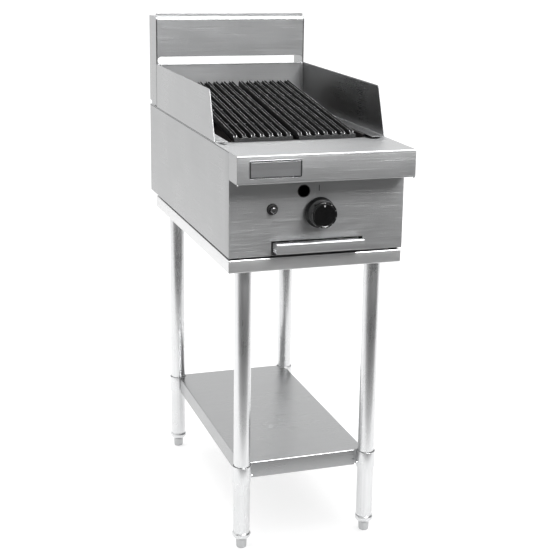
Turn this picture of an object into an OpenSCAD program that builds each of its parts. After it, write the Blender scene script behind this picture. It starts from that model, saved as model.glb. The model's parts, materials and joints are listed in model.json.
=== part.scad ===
// Gas chargrill with two tilted cast grates, on a round-leg stand with an undershelf.
// Millimetres, +Z up, the controls face -Y, and the origin is on the floor
// under the middle of the whole object.

/* [Cooker body] */
// Width of the cooker body, its guards and the stand
body_w = 400; // [380:1:440]
// Depth of the body from the control panel to the rear
body_d = 767; // [767:1:800]
// Height of the body from its base pan to the hob
body_h = 231; // [231:1:250]
// How far the hob's nose stands out over the control panel
nose_out = 60; // [40:1:70]
// Height of the nose's front face
nose_h = 60.5; // [50:0.5:64]
// How far the hob dips where its front ledge meets the opening
ledge_dip = 8; // [2:1:10]
// Thickness of the body's stainless sheet
sheet_t = 1.2; // [0.9:0.1:1.5]

/* [Guards and splashback] */
// Height of the side guards over the hob
guard_h = 111; // [90:1:120]
// Distance from the nose to the guards' front edge at the hob
guard_set = 177; // [160:1:190]
// How far the guards' front edge leans back at its top
guard_rake = 43; // [0:1:60]
// Height of the open slot between the rear guard and the splashback face
slot_h = 19.5; // [10:0.5:24]
// Height of the splashback face over the hob, to its top fold
splash_h = 225.8; // [200:0.1:300]
// Depth of the splashback box
splash_d = 77; // [60:1:90]
// Height of the lip on top of the splashback
lip_h = 8.7; // [4:0.1:15]

/* [Stand] */
// Height of the stand from the floor to its deck
stand_h = 699.5; // [600:0.5:720]
// Depth of the folded edge of the deck
deck_edge = 29; // [26:1:40]
// Outside diameter of the legs
leg_d = 38.1; // [38.1:0.1:38.1]
// Sideways distance between leg centres
leg_span_x = 304; // [290:1:310]
// Distance from the deck's front edge to the front leg centres
leg_front = 51; // [45:1:60]
// Front-to-back distance between leg centres
leg_span_y = 619; // [600:1:625]
// Height of the undershelf's top face
shelf_z = 201; // [150:1:400]
// Depth of the undershelf's folded edges
shelf_edge = 37.5; // [30:0.5:45]
// Height that each foot shows under its leg
foot_h = 24; // [20:1:30]
// How far a foot can be screwed down
foot_travel = 25; // [10:1:25]

/* [Grates] */
// Number of ribs on each grate
rib_n = 7; // [5:1:7]
// Distance between rib centres
rib_pitch = 20.9; // [19:0.1:21]
// Width of a rib along its top
rib_top = 9; // [4:0.5:10]
// Width of a rib along its foot
rib_foot = 11; // [8:0.5:12]
// Depth of a rib
rib_depth = 16; // [12:1:20]
// Length of the grates along their slope
grate_l = 498; // [480:1:500]
// Slope of the grates, falling to the front, in degrees
grate_tilt = 7.4; // [5:0.1:8]
// Clear space between the two grates
grate_gap = 17.4; // [10:0.1:24]

/* [Controls] */
// Diameter of the knob's skirt
knob_d = 68; // [56:1:72]
// How far the knob's face stands out from the panel
knob_out = 39; // [34:1:42]
// Height of the knob's axis over the base of the body
knob_z = 92; // [88:1:96]
// Push travel of the knob
knob_push = 3; // [2:0.5:3]
// Sideways place of the igniter button
igniter_x = -104; // [-120:1:-90]
// Height of the igniter button over the base of the body
igniter_z = 103; // [95:1:110]
// Travel of the igniter button
igniter_push = 6; // [3:0.5:6]
// Diameter of the sight hole
sight_d = 26; // [20:1:28]

/* [Drip tray] */
// Width of the tray opening in the control panel
tray_open_w = 210; // [206:1:214]
// Height of the tray opening
tray_open_h = 31.5; // [31:0.5:34]
// Length of the tray
tray_l = 690; // [600:10:700]
// How far the tray's pull stands out from the panel
pull_out = 25.5; // [18:0.5:30]

/* [Hidden] */
$fn = 48;
e = 0.5;                               // extra length of a cutter past a face
plate_t = 0.8;                         // nameplate
hob_t = 1.5;
spacer_h = 5;                          // gap between the stand and the body

hw = body_w / 2;
total_d = body_d + nose_out + plate_t;
y_nose = plate_t - total_d / 2;        // nose front face
y_panel = y_nose + nose_out;           // control panel front face
y_rear = y_panel + body_d;             // rear of body and splashback
y_back = y_rear - 3;                   // outer face of the recessed rear panel
z_base = stand_h + spacer_h;           // underside of the base pan
z_hob = z_base + body_h;
y_splash = y_rear - splash_d;          // front face of the splashback
z_guard = z_hob + guard_h;
z_splash = z_hob + splash_h;

y_deck0 = y_nose + 62;
y_deck1 = y_deck0 + 703;
leg_x = leg_span_x / 2;
y_leg0 = y_deck0 + leg_front;
y_leg1 = y_leg0 + leg_span_y;
leg_r = leg_d / 2;
leg_bore = leg_r - 1.5;
socket_r = leg_r + 2.4;
fit = 0.1;                             // radial clearance of a leg in its sleeves
z_socket = stand_h - deck_edge + 3;    // bottom of the leg sockets
z_leg_top = stand_h - 3.5;
ring_h = 14;                           // height of the ring under each leg
z_leg_end = foot_h + ring_h;
stud_r = 6;
run_fit = 0.05;                        // radial clearance of a sliding or turning pair

shelf_t = 1.2;
shelf_x = leg_x;                       // side planes of the shelf
y_shelf0 = y_leg0 + 10.5;
y_shelf1 = y_leg1 + 7.5;
z_shelf0 = shelf_z - shelf_edge;
corner_r = 26;                         // notch of the shelf's folded edges at a leg

open_x = 169;                          // half width of the hob opening
y_open0 = y_nose + 222;                // front edge of the opening
y_open1 = y_splash - 16;
y_dip = y_nose + 120;                  // where the ledge starts to dip
dip_x = 192;                           // half width of the dip
box_x = 165;                           // inside half width of the firebox
box_t = 1.2;
y_box0 = y_open0 + 1;
y_box1 = y_open1 + 2;
z_box0 = z_base + 60;

knob_x = 2;
kz = z_base + knob_z;
pipe_r = 10.65;
pipe_bore = 8;
z_pipe = z_base + 60.5;
x_pipe = 182;
y_manifold = y_panel + 48.5;
y_turn = y_rear - 49;
y_stem = y_manifold - 20;               // inner end of the valve stem
x_inlet = 140;
elbow_r = 14;
elbow_l = 16;
iz = z_base + igniter_z;
sight_x = -33;
sight_z = z_base + 139.3;

tray_w = tray_open_w - 10;
tray_z0 = z_base + 3.5;
tray_z1 = z_base + 27;
y_tray0 = y_panel + 6;                 // front wall of the tray, behind the panel
burner_x = 78;
burner_r = 19;
z_burner = kz;
y_burner0 = y_box0 + 42;
y_burner1 = y_box1 - 60;
z_rail = z_burner + 34;                // top of the radiant rails
rib_x0 = grate_gap / 2 + rib_top / 2;  // innermost rib centre of a grate
y_grate = y_nose + 214;                // top front edge of the grates
z_grate = z_hob + 5.7;
rib_start = 12;                        // distance from the front bar's face to the rib ends
z_ledge = z_hob - ledge_dip;
y_pilot = y_burner0 - 30;
z_pilot = z_burner + 26;

steel = [0.78, 0.79, 0.8];
sheet = [0.72, 0.73, 0.74];
iron = [0.16, 0.16, 0.17];
black = [0.06, 0.06, 0.07];
brass = [0.78, 0.6, 0.28];
zinc = [0.6, 0.62, 0.64];

LEGS = [[-leg_x, y_leg0], [leg_x, y_leg0], [-leg_x, y_leg1], [leg_x, y_leg1]];
SPACERS = [for (x = [16 - hw, hw - 16], y = [y_deck0 + 12, y_deck1 - 75]) [x, y]];
LINES = [-26, -33, -45];               // sideways places of the pilot, spark and sensing lines
REAR_SCREWS = [for (x = [-180, 0, 180], z = [z_base + 12, z_hob - 12]) [x, z]];

// ---- shared shapes ----

// A box between two opposite corners.
module box(lo, hi) {
    translate(lo) cube(hi - lo);
}

// A rod along Z, X or Y from a to b on the line through the other two coordinates.
module rod_z(x, y, a, b, r) {
    translate([x, y, a]) cylinder(h = b - a, r = r);
}

module rod_x(y, z, a, b, r) {
    translate([a, y, z]) rotate([0, 90, 0]) cylinder(h = b - a, r = r);
}

module rod_y(x, z, a, b, r) {
    translate([x, a, z]) rotate([-90, 0, 0]) cylinder(h = b - a, r = r);
}

// A sheet tray between two corners: a flat face at the top or bottom and four folded edges.
module folded_tray(lo, hi, t, face_up) {
    difference() {
        box(lo, hi);
        box([lo[0] + t, lo[1] + t, face_up ? lo[2] - e : lo[2] + t],
            [hi[0] - t, hi[1] - t, face_up ? hi[2] - t : hi[2] + e]);
    }
}

// A closed polygon in the Y-Z plane carried along X from a to b.
module along_x(a, b, points) {
    translate([a, 0, 0]) rotate([90, 0, 90]) linear_extrude(b - a) polygon(points);
}

// A small-bore line through axis-aligned points, with a ball at each bend.
module small_line(points, r) {
    last = len(points) - 1;
    for (i = [0 : last - 1]) {
        d = points[i + 1] - points[i];
        l = norm(d);
        translate(points[i]) rotate([0, acos(d[2] / l), atan2(d[1], d[0])]) cylinder(h = l, r = r, $fn = 24);
    }
    for (i = [1 : last - 1]) translate(points[i]) sphere(r = r, $fn = 24);
}

// A hexagon screw head with its shank, along +Z from the head's outer face.
module hex_bolt(head_r, head_h, shank_r, length) {
    cylinder(h = head_h, r = head_r, $fn = 6);
    translate([0, 0, head_h]) cylinder(h = length, r = shank_r);
}

// ---- stand ----

module stand_deck() color(steel) difference() {
    union() {
        folded_tray([-hw, y_deck0, stand_h - deck_edge], [hw, y_deck1, stand_h], 1.5, true);
        difference() {
            box([-hw, y_deck0, stand_h - deck_edge], [hw, y_deck1, stand_h - deck_edge + 1.5]);
            box([12 - hw, y_deck0 + 12, stand_h - deck_edge - e],
                [hw - 12, y_deck1 - 12, stand_h - deck_edge + 2]);
        }
    }
    for (p = SPACERS) rod_z(p[0], p[1], stand_h - 3, stand_h + e, 4.25);
}

// Cup sockets that hold the leg tops, with their flange against the deck.
module leg_sockets() color(steel) for (p = LEGS) difference() {
    union() {
        box([p[0] - 30, p[1] - 30, z_leg_top], [p[0] + 30, p[1] + 30, stand_h - 1.5]);
        rod_z(p[0], p[1], z_socket, z_leg_top, socket_r);
    }
    rod_z(p[0], p[1], z_socket - e, z_leg_top, leg_r + fit);
    rod_y(p[0], z_socket + 9, p[1], p[1] + 30, 3);
}

module socket_screws() color(zinc) for (p = LEGS)
    rod_y(p[0], z_socket + 9, p[1] + leg_r + fit, p[1] + socket_r + 3, 3);

module leg(i) color(steel) translate([LEGS[i][0], LEGS[i][1], z_leg_end]) difference() {
    cylinder(h = z_leg_top - z_leg_end, r = leg_r);
    translate([0, 0, -e]) cylinder(h = z_leg_top - z_leg_end + 2 * e, r = leg_bore);
}

// Plugs pressed into the leg ends: a bulged ring below, a spigot above and a threaded bore.
module leg_inserts() color(steel) for (p = LEGS) translate([p[0], p[1], 0]) difference() {
    union() {
        rotate_extrude() polygon([[0, foot_h], [16.5, foot_h], [19.5, foot_h + 3.5],
            [21.5, foot_h + 8], [21.5, foot_h + 11], [20.3, z_leg_end], [0, z_leg_end]]);
        translate([0, 0, z_leg_end]) cylinder(h = 24, r = leg_bore);
    }
    translate([0, 0, foot_h - e]) cylinder(h = 60, r = stud_r + run_fit);
}

module foot(i) color(zinc) translate([LEGS[i][0], LEGS[i][1], 0]) {
    rotate_extrude() polygon([[0, 0], [10.8, 0], [11.6, 1.5], [12.2, 4],
        [12.6, foot_h - 3], [12, foot_h - 0.3], [0, foot_h - 0.3]]);
    cylinder(h = z_leg_end + foot_travel - 3, r = stud_r);
}

module undershelf() color(sheet) difference() {
    folded_tray([-shelf_x, y_shelf0, z_shelf0], [shelf_x, y_shelf1, shelf_z], shelf_t, true);
    for (p = LEGS) {
        rod_z(p[0], p[1], z_shelf0 - e, shelf_z + e, socket_r + 0.3);
        rod_z(p[0], p[1], z_shelf0 - e, shelf_z - shelf_t, corner_r);
    }
}

// Corner sleeves around the legs, each with two wings welded behind the shelf's edges.
module shelf_brackets() color(steel) for (i = [0 : 3]) {
    p = LEGS[i];
    inward_x = p[0] < 0 ? 1 : -1;
    front = i < 2;
    y_wing = front ? y_shelf0 + shelf_t : y_shelf1 - shelf_t - 2;
    inward_y = front ? 1 : -1;
    x_wing = p[0] + inward_x * (shelf_t + 1);
    difference() {
        union() {
            rod_z(p[0], p[1], z_shelf0 - 2, shelf_z + 1, socket_r);
            translate([p[0] + inward_x * 35, y_wing + 1, shelf_z - 18]) cube([40, 2, 32], center = true);
            translate([x_wing, p[1] + inward_y * 40, shelf_z - 18]) cube([2, 42, 32], center = true);
        }
        rod_z(p[0], p[1], z_shelf0 - 3, shelf_z + 2, leg_r + fit);
        rod_x(p[1], z_shelf0 + 10, p[0] - 30 * (1 - inward_x) / 2, p[0] + 30 * (1 + inward_x) / 2, 3);
    }
}

module shelf_screws() color(zinc) for (p = LEGS) {
    inward_x = p[0] < 0 ? 1 : -1;
    a = p[0] + inward_x * (leg_r + fit);
    b = p[0] + inward_x * (socket_r + 3);
    rod_x(p[1], z_shelf0 + 10, min(a, b), max(a, b), 3);
}

module body_spacers() color(black) for (p = SPACERS) difference() {
    rod_z(p[0], p[1], stand_h, z_base, 10);
    rod_z(p[0], p[1], stand_h - e, z_base + e, 4.25);
}

module body_bolts() color(zinc) for (p = SPACERS)
    translate([p[0], p[1], stand_h - 7]) hex_bolt(6.5, 5.5, 4, 22);

module body_nuts() color(zinc) for (p = SPACERS) translate([p[0], p[1], z_base + sheet_t]) difference() {
    cylinder(h = 6, r = 7, $fn = 6);
    translate([0, 0, -e]) cylinder(h = 7, r = 4);
}

// ---- body casing ----

module base_pan() color(sheet) difference() {
    folded_tray([sheet_t - hw, y_panel + sheet_t, z_base],
        [hw - sheet_t, y_back - sheet_t, z_base + 22], sheet_t, false);
    box([-tray_open_w / 2 - 2, y_panel, z_base + sheet_t], [tray_open_w / 2 + 2, y_panel + 10, z_base + 30]);
    for (s = [-1, 1]) box([s * 136 - 20, -150, z_base - e], [s * 136 + 20, 210, z_base + 2]);
    for (p = SPACERS) rod_z(p[0], p[1], z_base - e, z_base + 3, 4.25);
    for (p = REAR_SCREWS) rod_y(p[0], p[1], y_back - 5, y_back, 2);
}

module side_panel(s) color(steel) {
    x0 = s > 0 ? hw - sheet_t : -hw;
    in0 = s > 0 ? hw - 18 : -hw;
    top0 = s > 0 ? hw - 7 : -hw;
    box([x0, y_panel + sheet_t, z_base], [x0 + sheet_t, y_rear, z_hob - hob_t]);
    box([in0, y_panel + sheet_t, z_base + 22], [in0 + 18, y_panel + 2 * sheet_t, z_hob - hob_t]);
    box([top0, y_panel + sheet_t, z_hob - hob_t - sheet_t],
        [top0 + 7, y_back - 2 * sheet_t, z_hob - hob_t]);
}

module rear_panel() color(sheet) difference() {
    box([sheet_t - hw, y_back - sheet_t, z_base], [hw - sheet_t, y_back, z_hob - hob_t]);
    rod_y(x_inlet, z_pipe, y_back - 5, y_back + e, 24);
    for (i = [0 : 4]) box([-150, y_back - 5, z_base + 128 + 18 * i], [60, y_back + e, z_base + 134 + 18 * i]);
    for (p = REAR_SCREWS) rod_y(p[0], p[1], y_back - 5, y_back + e, 2);
}

module rear_panel_screws() color(zinc) for (p = REAR_SCREWS) {
    rod_y(p[0], p[1], y_back - 8, y_back, 2);
    rod_y(p[0], p[1], y_back, y_back + 2, 4);
}

module control_panel() color(sheet) difference() {
    box([-hw, y_panel, z_base], [hw, y_panel + sheet_t, z_hob - hob_t]);
    box([-tray_open_w / 2, y_panel - e, z_base - e],
        [tray_open_w / 2, y_panel + 2, z_base + tray_open_h]);
    rod_y(knob_x, kz, y_panel - e, y_panel + 2, 9);
    rod_y(igniter_x, iz, y_panel - e, y_panel + 2, 9.2);
    rod_y(sight_x, sight_z, y_panel - e, y_panel + 2, sight_d / 2);
}

// The hob sheet: a folded nose in front, a ledge that dips to the opening, and side and rear strips.
module hob() color(steel) {
    along_x(-hw, hw, [[y_nose, z_hob - nose_h], [y_nose, z_hob], [y_dip, z_hob],
        [y_dip, z_hob - hob_t], [y_nose + hob_t, z_hob - hob_t], [y_nose + hob_t, z_hob - nose_h + hob_t],
        [y_panel, z_hob - nose_h + hob_t], [y_panel, z_hob - nose_h]]);
    along_x(-dip_x, dip_x, [[y_dip, z_hob], [y_open0, z_ledge], [y_open0, z_ledge - 14],
        [y_open0 - hob_t, z_ledge - 14], [y_open0 - hob_t, z_ledge - hob_t], [y_dip, z_hob - hob_t]]);
    for (s = [-1, 1]) {
        box([s > 0 ? dip_x : -hw, y_dip, z_hob - hob_t], [s > 0 ? hw : -dip_x, y_open0, z_hob]);
        box([s > 0 ? open_x : -hw, y_open0, z_hob - hob_t], [s > 0 ? hw : -open_x, y_rear, z_hob]);
        box([s > 0 ? hw - hob_t : -hw, y_nose + hob_t, z_hob - nose_h + hob_t],
            [s > 0 ? hw : hob_t - hw, y_panel, z_hob - hob_t]);
    }
    box([-open_x, y_open1, z_hob - hob_t], [open_x, y_rear, z_hob]);
    difference() {
        box([8 - hw, y_back - 2 * sheet_t, z_hob - 22], [hw - 8, y_back - sheet_t, z_hob - hob_t]);
        for (p = REAR_SCREWS) rod_y(p[0], p[1], y_back - 5, y_back, 2);
    }
}

module nameplate() color(sheet) {
    lo = [-174, z_hob - nose_h + 11];
    hi = [-58, z_hob - nose_h + 50.5];
    r = 4;
    for (c = [[lo[0] + r, lo[1] + r], [hi[0] - r, lo[1] + r], [lo[0] + r, hi[1] - r], [hi[0] - r, hi[1] - r]])
        rod_y(c[0], c[1], y_nose - plate_t, y_nose, r);
    box([lo[0] + r, y_nose - plate_t, lo[1]], [hi[0] - r, y_nose, hi[1]]);
    box([lo[0], y_nose - plate_t, lo[1] + r], [hi[0], y_nose, hi[1] - r]);
}

// Four walls around the burner, open above and below, with holes in front for the gas lines.
module firebox() color(zinc) difference() {
    union() {
        box([-box_x - box_t, y_box0, z_box0], [box_x + box_t, y_box1, z_hob - hob_t]);
        box([-box_x - 15, y_box0 + 5, z_hob - hob_t - box_t], [box_x + 15, y_box1, z_hob - hob_t]);
    }
    box([-box_x, y_box0 + box_t, z_box0 - e], [box_x, y_box1 - box_t, z_hob]);
    box([-box_x - 2, y_box0 - 1, z_ledge - 14.2], [box_x + 2, y_box0 + 5, z_hob]);
    rod_y(knob_x, z_burner, y_box0 - 3, y_box0 + 3, 18);
    for (x = LINES) rod_y(x, z_pilot - 30, y_box0 - 3, y_box0 + 3, 3);
}

// Sloped plates that lead the fat from the firebox walls into the drip tray.
module grease_chutes() color(zinc) for (s = [0, 1]) mirror([s, 0, 0])
    translate([0, y_box0 + 3, 0]) rotate([90, 0, 0]) mirror([0, 0, 1]) linear_extrude(y_box1 - y_box0 - 6)
        polygon([[box_x, z_box0 + 12], [84, z_box0 - 26], [84, z_box0 - 24.6], [box_x, z_box0 + 13.4]]);

module heat_shield() color(zinc) difference() {
    box([sheet_t - hw, y_box0 - 34, z_base + 36], [hw - sheet_t, y_box0 - 33, z_hob - 30]);
    rod_y(knob_x, z_burner, y_box0 - 36, y_box0 - 30, 20);
    rod_y(x_pipe, z_pipe, y_box0 - 36, y_box0 - 30, 12);
    for (x = LINES) rod_y(x, z_pilot - 30, y_box0 - 36, y_box0 - 30, 3);
    rod_y(sight_x, sight_z, y_box0 - 36, y_box0 - 30, sight_d / 2);
}

// ---- guards and splashback ----

// A side guard: an upright plate with a raked, rounded front edge, a flange on the hob
// and a narrow one against the rear guard.
module side_guard(s) color(steel) {
    x0 = s > 0 ? hw - sheet_t : -hw;
    f0 = s > 0 ? open_x : sheet_t - hw;
    f1 = s > 0 ? hw - sheet_t : -open_x;
    y0 = y_nose + guard_set;
    r = 12;
    rake = atan2(guard_rake, guard_h);
    corner = y0 + guard_rake + r * tan(45 - rake / 2);
    y1 = y_splash - 1.6;
    along_x(x0, x0 + sheet_t, concat([[y1, z_hob], [y0, z_hob]],
        [for (i = [0 : 8]) let (a = 180 - rake - i * (90 - rake) / 8)
            [corner + r * cos(a), z_guard - r + r * sin(a)]],
        [[y1, z_guard]]));
    box([f0, y0, z_hob], [f1, y1, z_hob + sheet_t]);
    box([s > 0 ? hw - sheet_t - 6 : sheet_t - hw, y1 - sheet_t, z_hob],
        [s > 0 ? hw - sheet_t : sheet_t + 6 - hw, y1, z_guard - 4]);
}

module rear_guard() color(steel) {
    y1 = y_splash - 0.2;
    box([sheet_t - hw, y1 - sheet_t, z_hob], [hw - sheet_t, y1, z_guard - 1]);
    box([sheet_t - hw, y1 - 4, z_guard - 1 - sheet_t], [hw - sheet_t, y1 - sheet_t, z_guard - 1]);
}

// The splashback face with its full-width slot, and side returns down to the hob; open behind.
module splashback() color(steel) {
    z0 = z_guard - 16;
    slot_r = slot_h / 2;
    slot_z = z_guard - 1 + slot_r;
    difference() {
        box([-hw, y_splash, z0], [hw, y_splash + sheet_t, z_splash]);
        for (s = [-1, 1]) rod_y(s * (hw - 2 - slot_r), slot_z, y_splash - 2, y_splash + 4, slot_r);
        box([2 + slot_r - hw, y_splash - 2, slot_z - slot_r],
            [hw - 2 - slot_r, y_splash + 4, slot_z + slot_r]);
    }
    along_x(-hw, hw, [[y_splash, z_splash], [y_splash + 5, z_splash + 5],
        [y_splash + 5, z_splash + 3.6], [y_splash + sheet_t, z_splash - 0.2]]);
    for (s = [-1, 1]) along_x(s > 0 ? hw - sheet_t : -hw, s > 0 ? hw : sheet_t - hw,
        [[y_splash, z_hob + 3], [y_splash, z_splash], [y_splash + 5, z_splash + 5],
        [y_rear, z_splash + 5], [y_rear, z_hob + 12]]);
}

// The top cover with the upright lip that ends the splashback.
module splash_top() color(steel) {
    box([sheet_t - hw, y_splash + 5, z_splash + 3.6], [hw - sheet_t, y_rear - sheet_t, z_splash + 4.8]);
    along_x(2 - hw, hw - 2, [[y_splash + 8, z_splash + 4], [y_splash + 8, z_splash + 4.8 + lip_h],
        [y_splash + 9.2, z_splash + 4.8 + lip_h], [y_splash + 9.2, z_splash + 4]]);
}

// Angle brackets that stand on the hob and hold the returns.
module splash_brackets() color(zinc) for (s = [0, 1]) mirror([s, 0, 0]) difference() {
    union() {
        box([hw - sheet_t - 2, y_splash + 22, z_hob], [hw - sheet_t, y_splash + 62, z_hob + 60]);
        box([hw - sheet_t - 26, y_splash + 22, z_hob], [hw - sheet_t - 2, y_splash + 62, z_hob + 2]);
    }
    for (y = [32, 52]) rod_z(hw - 16, y_splash + y, z_hob - e, z_hob + 3, 2.4);
}

module splash_screws() color(zinc) for (s = [0, 1], y = [32, 52]) mirror([s, 0, 0])
    translate([hw - 16, y_splash + y, z_hob + 6]) mirror([0, 0, 1]) hex_bolt(4.6, 4, 2.4, 2);

// ---- grates ----

// One rib: a tapered bar along its own Y, its top face at z = 0.
module rib() translate([0, rib_start, 0]) rotate([90, 0, 0]) mirror([0, 0, 1])
    linear_extrude(grate_l - rib_start)
    polygon([[-rib_top / 2, 0], [rib_top / 2, 0], [rib_foot / 2, -rib_depth], [-rib_foot / 2, -rib_depth]]);

// One grate in its own sloped frame: ribs, a scalloped bar at each end, joined to them by toes at the
// front, and three cross bars.
module grate(s) color(iron) translate([0, y_grate, z_grate]) rotate([grate_tilt, 0, 0]) {
    span = (rib_n - 1) * rib_pitch;
    x0 = s > 0 ? rib_x0 : -rib_x0 - span;
    for (i = [0 : rib_n - 1]) translate([x0 + i * rib_pitch, 0, 0]) rib();
    for (y = [0, grate_l - 7]) difference() {
        box([x0 - rib_foot / 2, y, -13], [x0 + span + rib_foot / 2, y + 7, -4]);
        for (i = [0 : rib_n - 2]) rod_y(x0 + (i + 0.5) * rib_pitch, 0, y - 1, y + 8, 6.5);
    }
    for (i = [0 : rib_n - 1]) translate([x0 + i * rib_pitch, 0, 0])
        box([-rib_foot / 2, 0, -13], [rib_foot / 2, rib_start + 1, -8]);
    for (i = [1 : 3]) box([x0, i * grate_l / 4 - 4, -rib_depth], [x0 + span, i * grate_l / 4 + 4, -7]);
}

// The folded rest that carries the high rear end of the grates.
module grate_rest() color(zinc) {
    y1 = y_grate + (grate_l - 22) * cos(grate_tilt);
    z1 = z_grate + (grate_l - 22) * sin(grate_tilt) - rib_depth / cos(grate_tilt) - 0.3;
    along_x(-box_x, box_x, [[y1, z1], [y1, z_hob - 22], [y1 + 1.5, z_hob - 22],
        [y1 + 1.5, z1 - 1.5], [y1 + 14, z1 - 1.5], [y1 + 14, z1]]);
    for (s = [-1, 1]) box([s * 155 - 10, y1, z_hob - 22], [s * 155 + 10, y_box1 - box_t, z_hob - 20.5]);
}

// ---- firebox contents ----

// Inverted-vee cast radiants, one over each leg of the burner, with vent slots.
module radiants() color(iron) for (s = [0, 1], part = [0, 1]) mirror([s, 0, 0])
    translate([burner_x, y_burner0 + 22 + part * 205, z_rail]) difference() {
        rotate([90, 0, 0]) mirror([0, 0, 1]) linear_extrude(200)
            polygon([[-74, 0], [0, 30], [74, 0], [74, 6], [0, 36], [-74, 6]]);
        for (i = [0 : 5], side = [-1, 1])
            translate([side * 36 - 14, 20 + i * 30, 5]) cube([28, 6, 40]);
    }

// Angle rails on the firebox walls and a tee between the burner's legs.
module radiant_rails() color(zinc) {
    y0 = y_burner0 + 20;
    y1 = y_burner1 + 30;
    for (s = [0, 1]) mirror([s, 0, 0]) {
        box([box_x - 2, y0, z_rail - 20], [box_x, y1, z_rail]);
        box([box_x - 20, y0, z_rail - 2], [box_x - 2, y1, z_rail]);
    }
    box([-10, y0, z_rail - 2], [10, y1, z_rail]);
    box([-1, y0, z_rail - 20], [1, y1, z_rail - 2]);
}

// A U-shaped tube burner with a mixing tube and bell mouth towards the injector.
module burner() color(steel) difference() {
    burner_tubes(burner_r, 0);
    burner_tubes(burner_r - 1.5, 1);
    for (s = [-1, 1], i = [0 : 11]) rod_z(s * burner_x, y_burner0 + 40 + i * 28, z_burner, z_burner + 30, 2);
}

module burner_tubes(r, cut) {
    for (s = [-1, 1]) {
        rod_y(s * burner_x, z_burner, y_burner0, y_burner1, r);
        translate([s * burner_x, y_burner0, z_burner]) sphere(r = r);
        translate([s * burner_x, y_burner1, z_burner]) sphere(r = r);
    }
    rod_x(y_burner0, z_burner, -burner_x, burner_x, r);
    rod_y(knob_x, z_burner, y_box0 - 46 - cut, y_burner0, r - 5);
    translate([knob_x, y_box0 - 62 - cut, z_burner]) rotate([-90, 0, 0])
        cylinder(h = 16 + 2 * cut, r1 = r - 1, r2 = r - 5);
}

// ---- gas train ----

module gas_inlet() color(brass) difference() {
    union() {
        rod_y(x_inlet, z_pipe, y_turn + elbow_l, y_rear - 22, pipe_r);
        translate([x_inlet, y_rear - 22, z_pipe]) rotate([-90, 0, 0]) cylinder(h = 8, r = 15, $fn = 6);
        rod_y(x_inlet, z_pipe, y_rear - 14, y_rear, 10.48);
    }
    rod_y(x_inlet, z_pipe, y_turn, y_rear + e, pipe_bore);
}

module gas_pipe() color(zinc) {
    difference() {
        rod_y(x_pipe, z_pipe, y_manifold + elbow_l, y_turn - elbow_l, pipe_r);
        rod_y(x_pipe, z_pipe, y_manifold, y_turn, pipe_bore);
    }
    difference() {
        rod_x(y_turn, z_pipe, x_inlet + elbow_l, x_pipe - elbow_l, pipe_r);
        rod_x(y_turn, z_pipe, x_inlet, x_pipe, pipe_bore);
    }
}

// One malleable elbow at the origin, its two mouths towards directions a and b in the X-Y plane.
module elbow(a, b) difference() {
    union() {
        sphere(r = elbow_r);
        for (d = [a, b]) rotate([0, 0, d]) rod_x(0, 0, 0, elbow_l, elbow_r);
    }
    sphere(r = pipe_bore);
    for (d = [a, b]) rotate([0, 0, d]) rod_x(0, 0, 0, elbow_l + e, pipe_bore);
}

module pipe_elbows() color(zinc) {
    translate([x_inlet, y_turn, z_pipe]) elbow(90, 0);
    translate([x_pipe, y_turn, z_pipe]) elbow(180, 270);
    translate([x_pipe, y_manifold, z_pipe]) elbow(90, 180);
}

module manifold() color(zinc) difference() {
    union() {
        rod_x(y_manifold, z_pipe, -30, x_pipe - elbow_l, pipe_r);
        box([120, y_manifold - 13, z_base + sheet_t], [124, y_manifold + 13, z_pipe]);
        rod_x(y_manifold, z_pipe, 120, 124, 13);
    }
    rod_x(y_manifold, z_pipe, -26, x_pipe, pipe_bore);
    rod_z(knob_x, y_manifold, z_pipe, z_pipe + 20, 6);
}

module gas_valve() color(brass) difference() {
    union() {
        box([knob_x - 14, y_manifold - 34, kz - 15], [knob_x + 14, y_manifold + 10, kz + 15]);
        rod_z(knob_x, y_manifold, z_pipe + 8.4, kz - 15, 6);
        rod_z(knob_x, y_manifold, z_pipe + 12, kz - 15, 10);
        rod_y(knob_x, kz, y_manifold - 40, y_manifold - 34, 12);
        rod_y(knob_x, kz, y_manifold + 10, y_manifold + 24, 7);
    }
    rod_y(knob_x, kz, y_manifold - 41, y_manifold - 30, 4.4);
    rod_y(knob_x, kz, y_manifold - 33, y_manifold - 1, 8 + run_fit);
    rod_y(knob_x, kz, y_manifold - 2, y_manifold + 25, 3);
}

module valve_plug() color(brass) difference() {
    rod_y(knob_x, kz, y_manifold - 32.7, y_manifold - 1.3, 8);
    rod_y(knob_x, kz, y_manifold - 33, y_manifold - 6, 4 + run_fit);
}

module valve_stem() color(brass) rod_y(knob_x, kz, y_panel - knob_out + 9, y_stem, 4);

// The return spring inside the plug, at its pressed length.
module valve_spring() color(steel) for (i = [0 : 5])
    translate([knob_x, y_stem + knob_push + 1.4 + i * 1.5, kz]) rotate([-90, 0, 0])
        rotate_extrude() translate([2.9, 0]) circle(r = 0.8, $fn = 24);

module knob() color(black) difference() {
    gap = knob_push + 1;
    translate([knob_x, y_panel - gap, kz]) rotate([90, 0, 0]) rotate_extrude() polygon([[0, 0],
        [knob_d / 2, 0], [knob_d / 2, 5], [knob_d / 2 - 2, 9], [knob_d / 2 - 4, 13],
        [knob_d / 2 - 4.7, knob_out - gap - 3], [knob_d / 2 - 6.5, knob_out - gap], [0, knob_out - gap]]);
    rod_y(knob_x, kz, y_panel - knob_out + 9, y_panel, 4);
}

module injector() color(brass) difference() {
    union() {
        translate([knob_x, y_manifold + 24, kz]) rotate([-90, 0, 0]) cylinder(h = 9, r = 9, $fn = 6);
        translate([knob_x, y_manifold + 33, kz]) rotate([-90, 0, 0]) cylinder(h = 7, r1 = 6, r2 = 3.5);
    }
    rod_y(knob_x, kz, y_manifold + 23, y_manifold + 41, 1);
}

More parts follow.
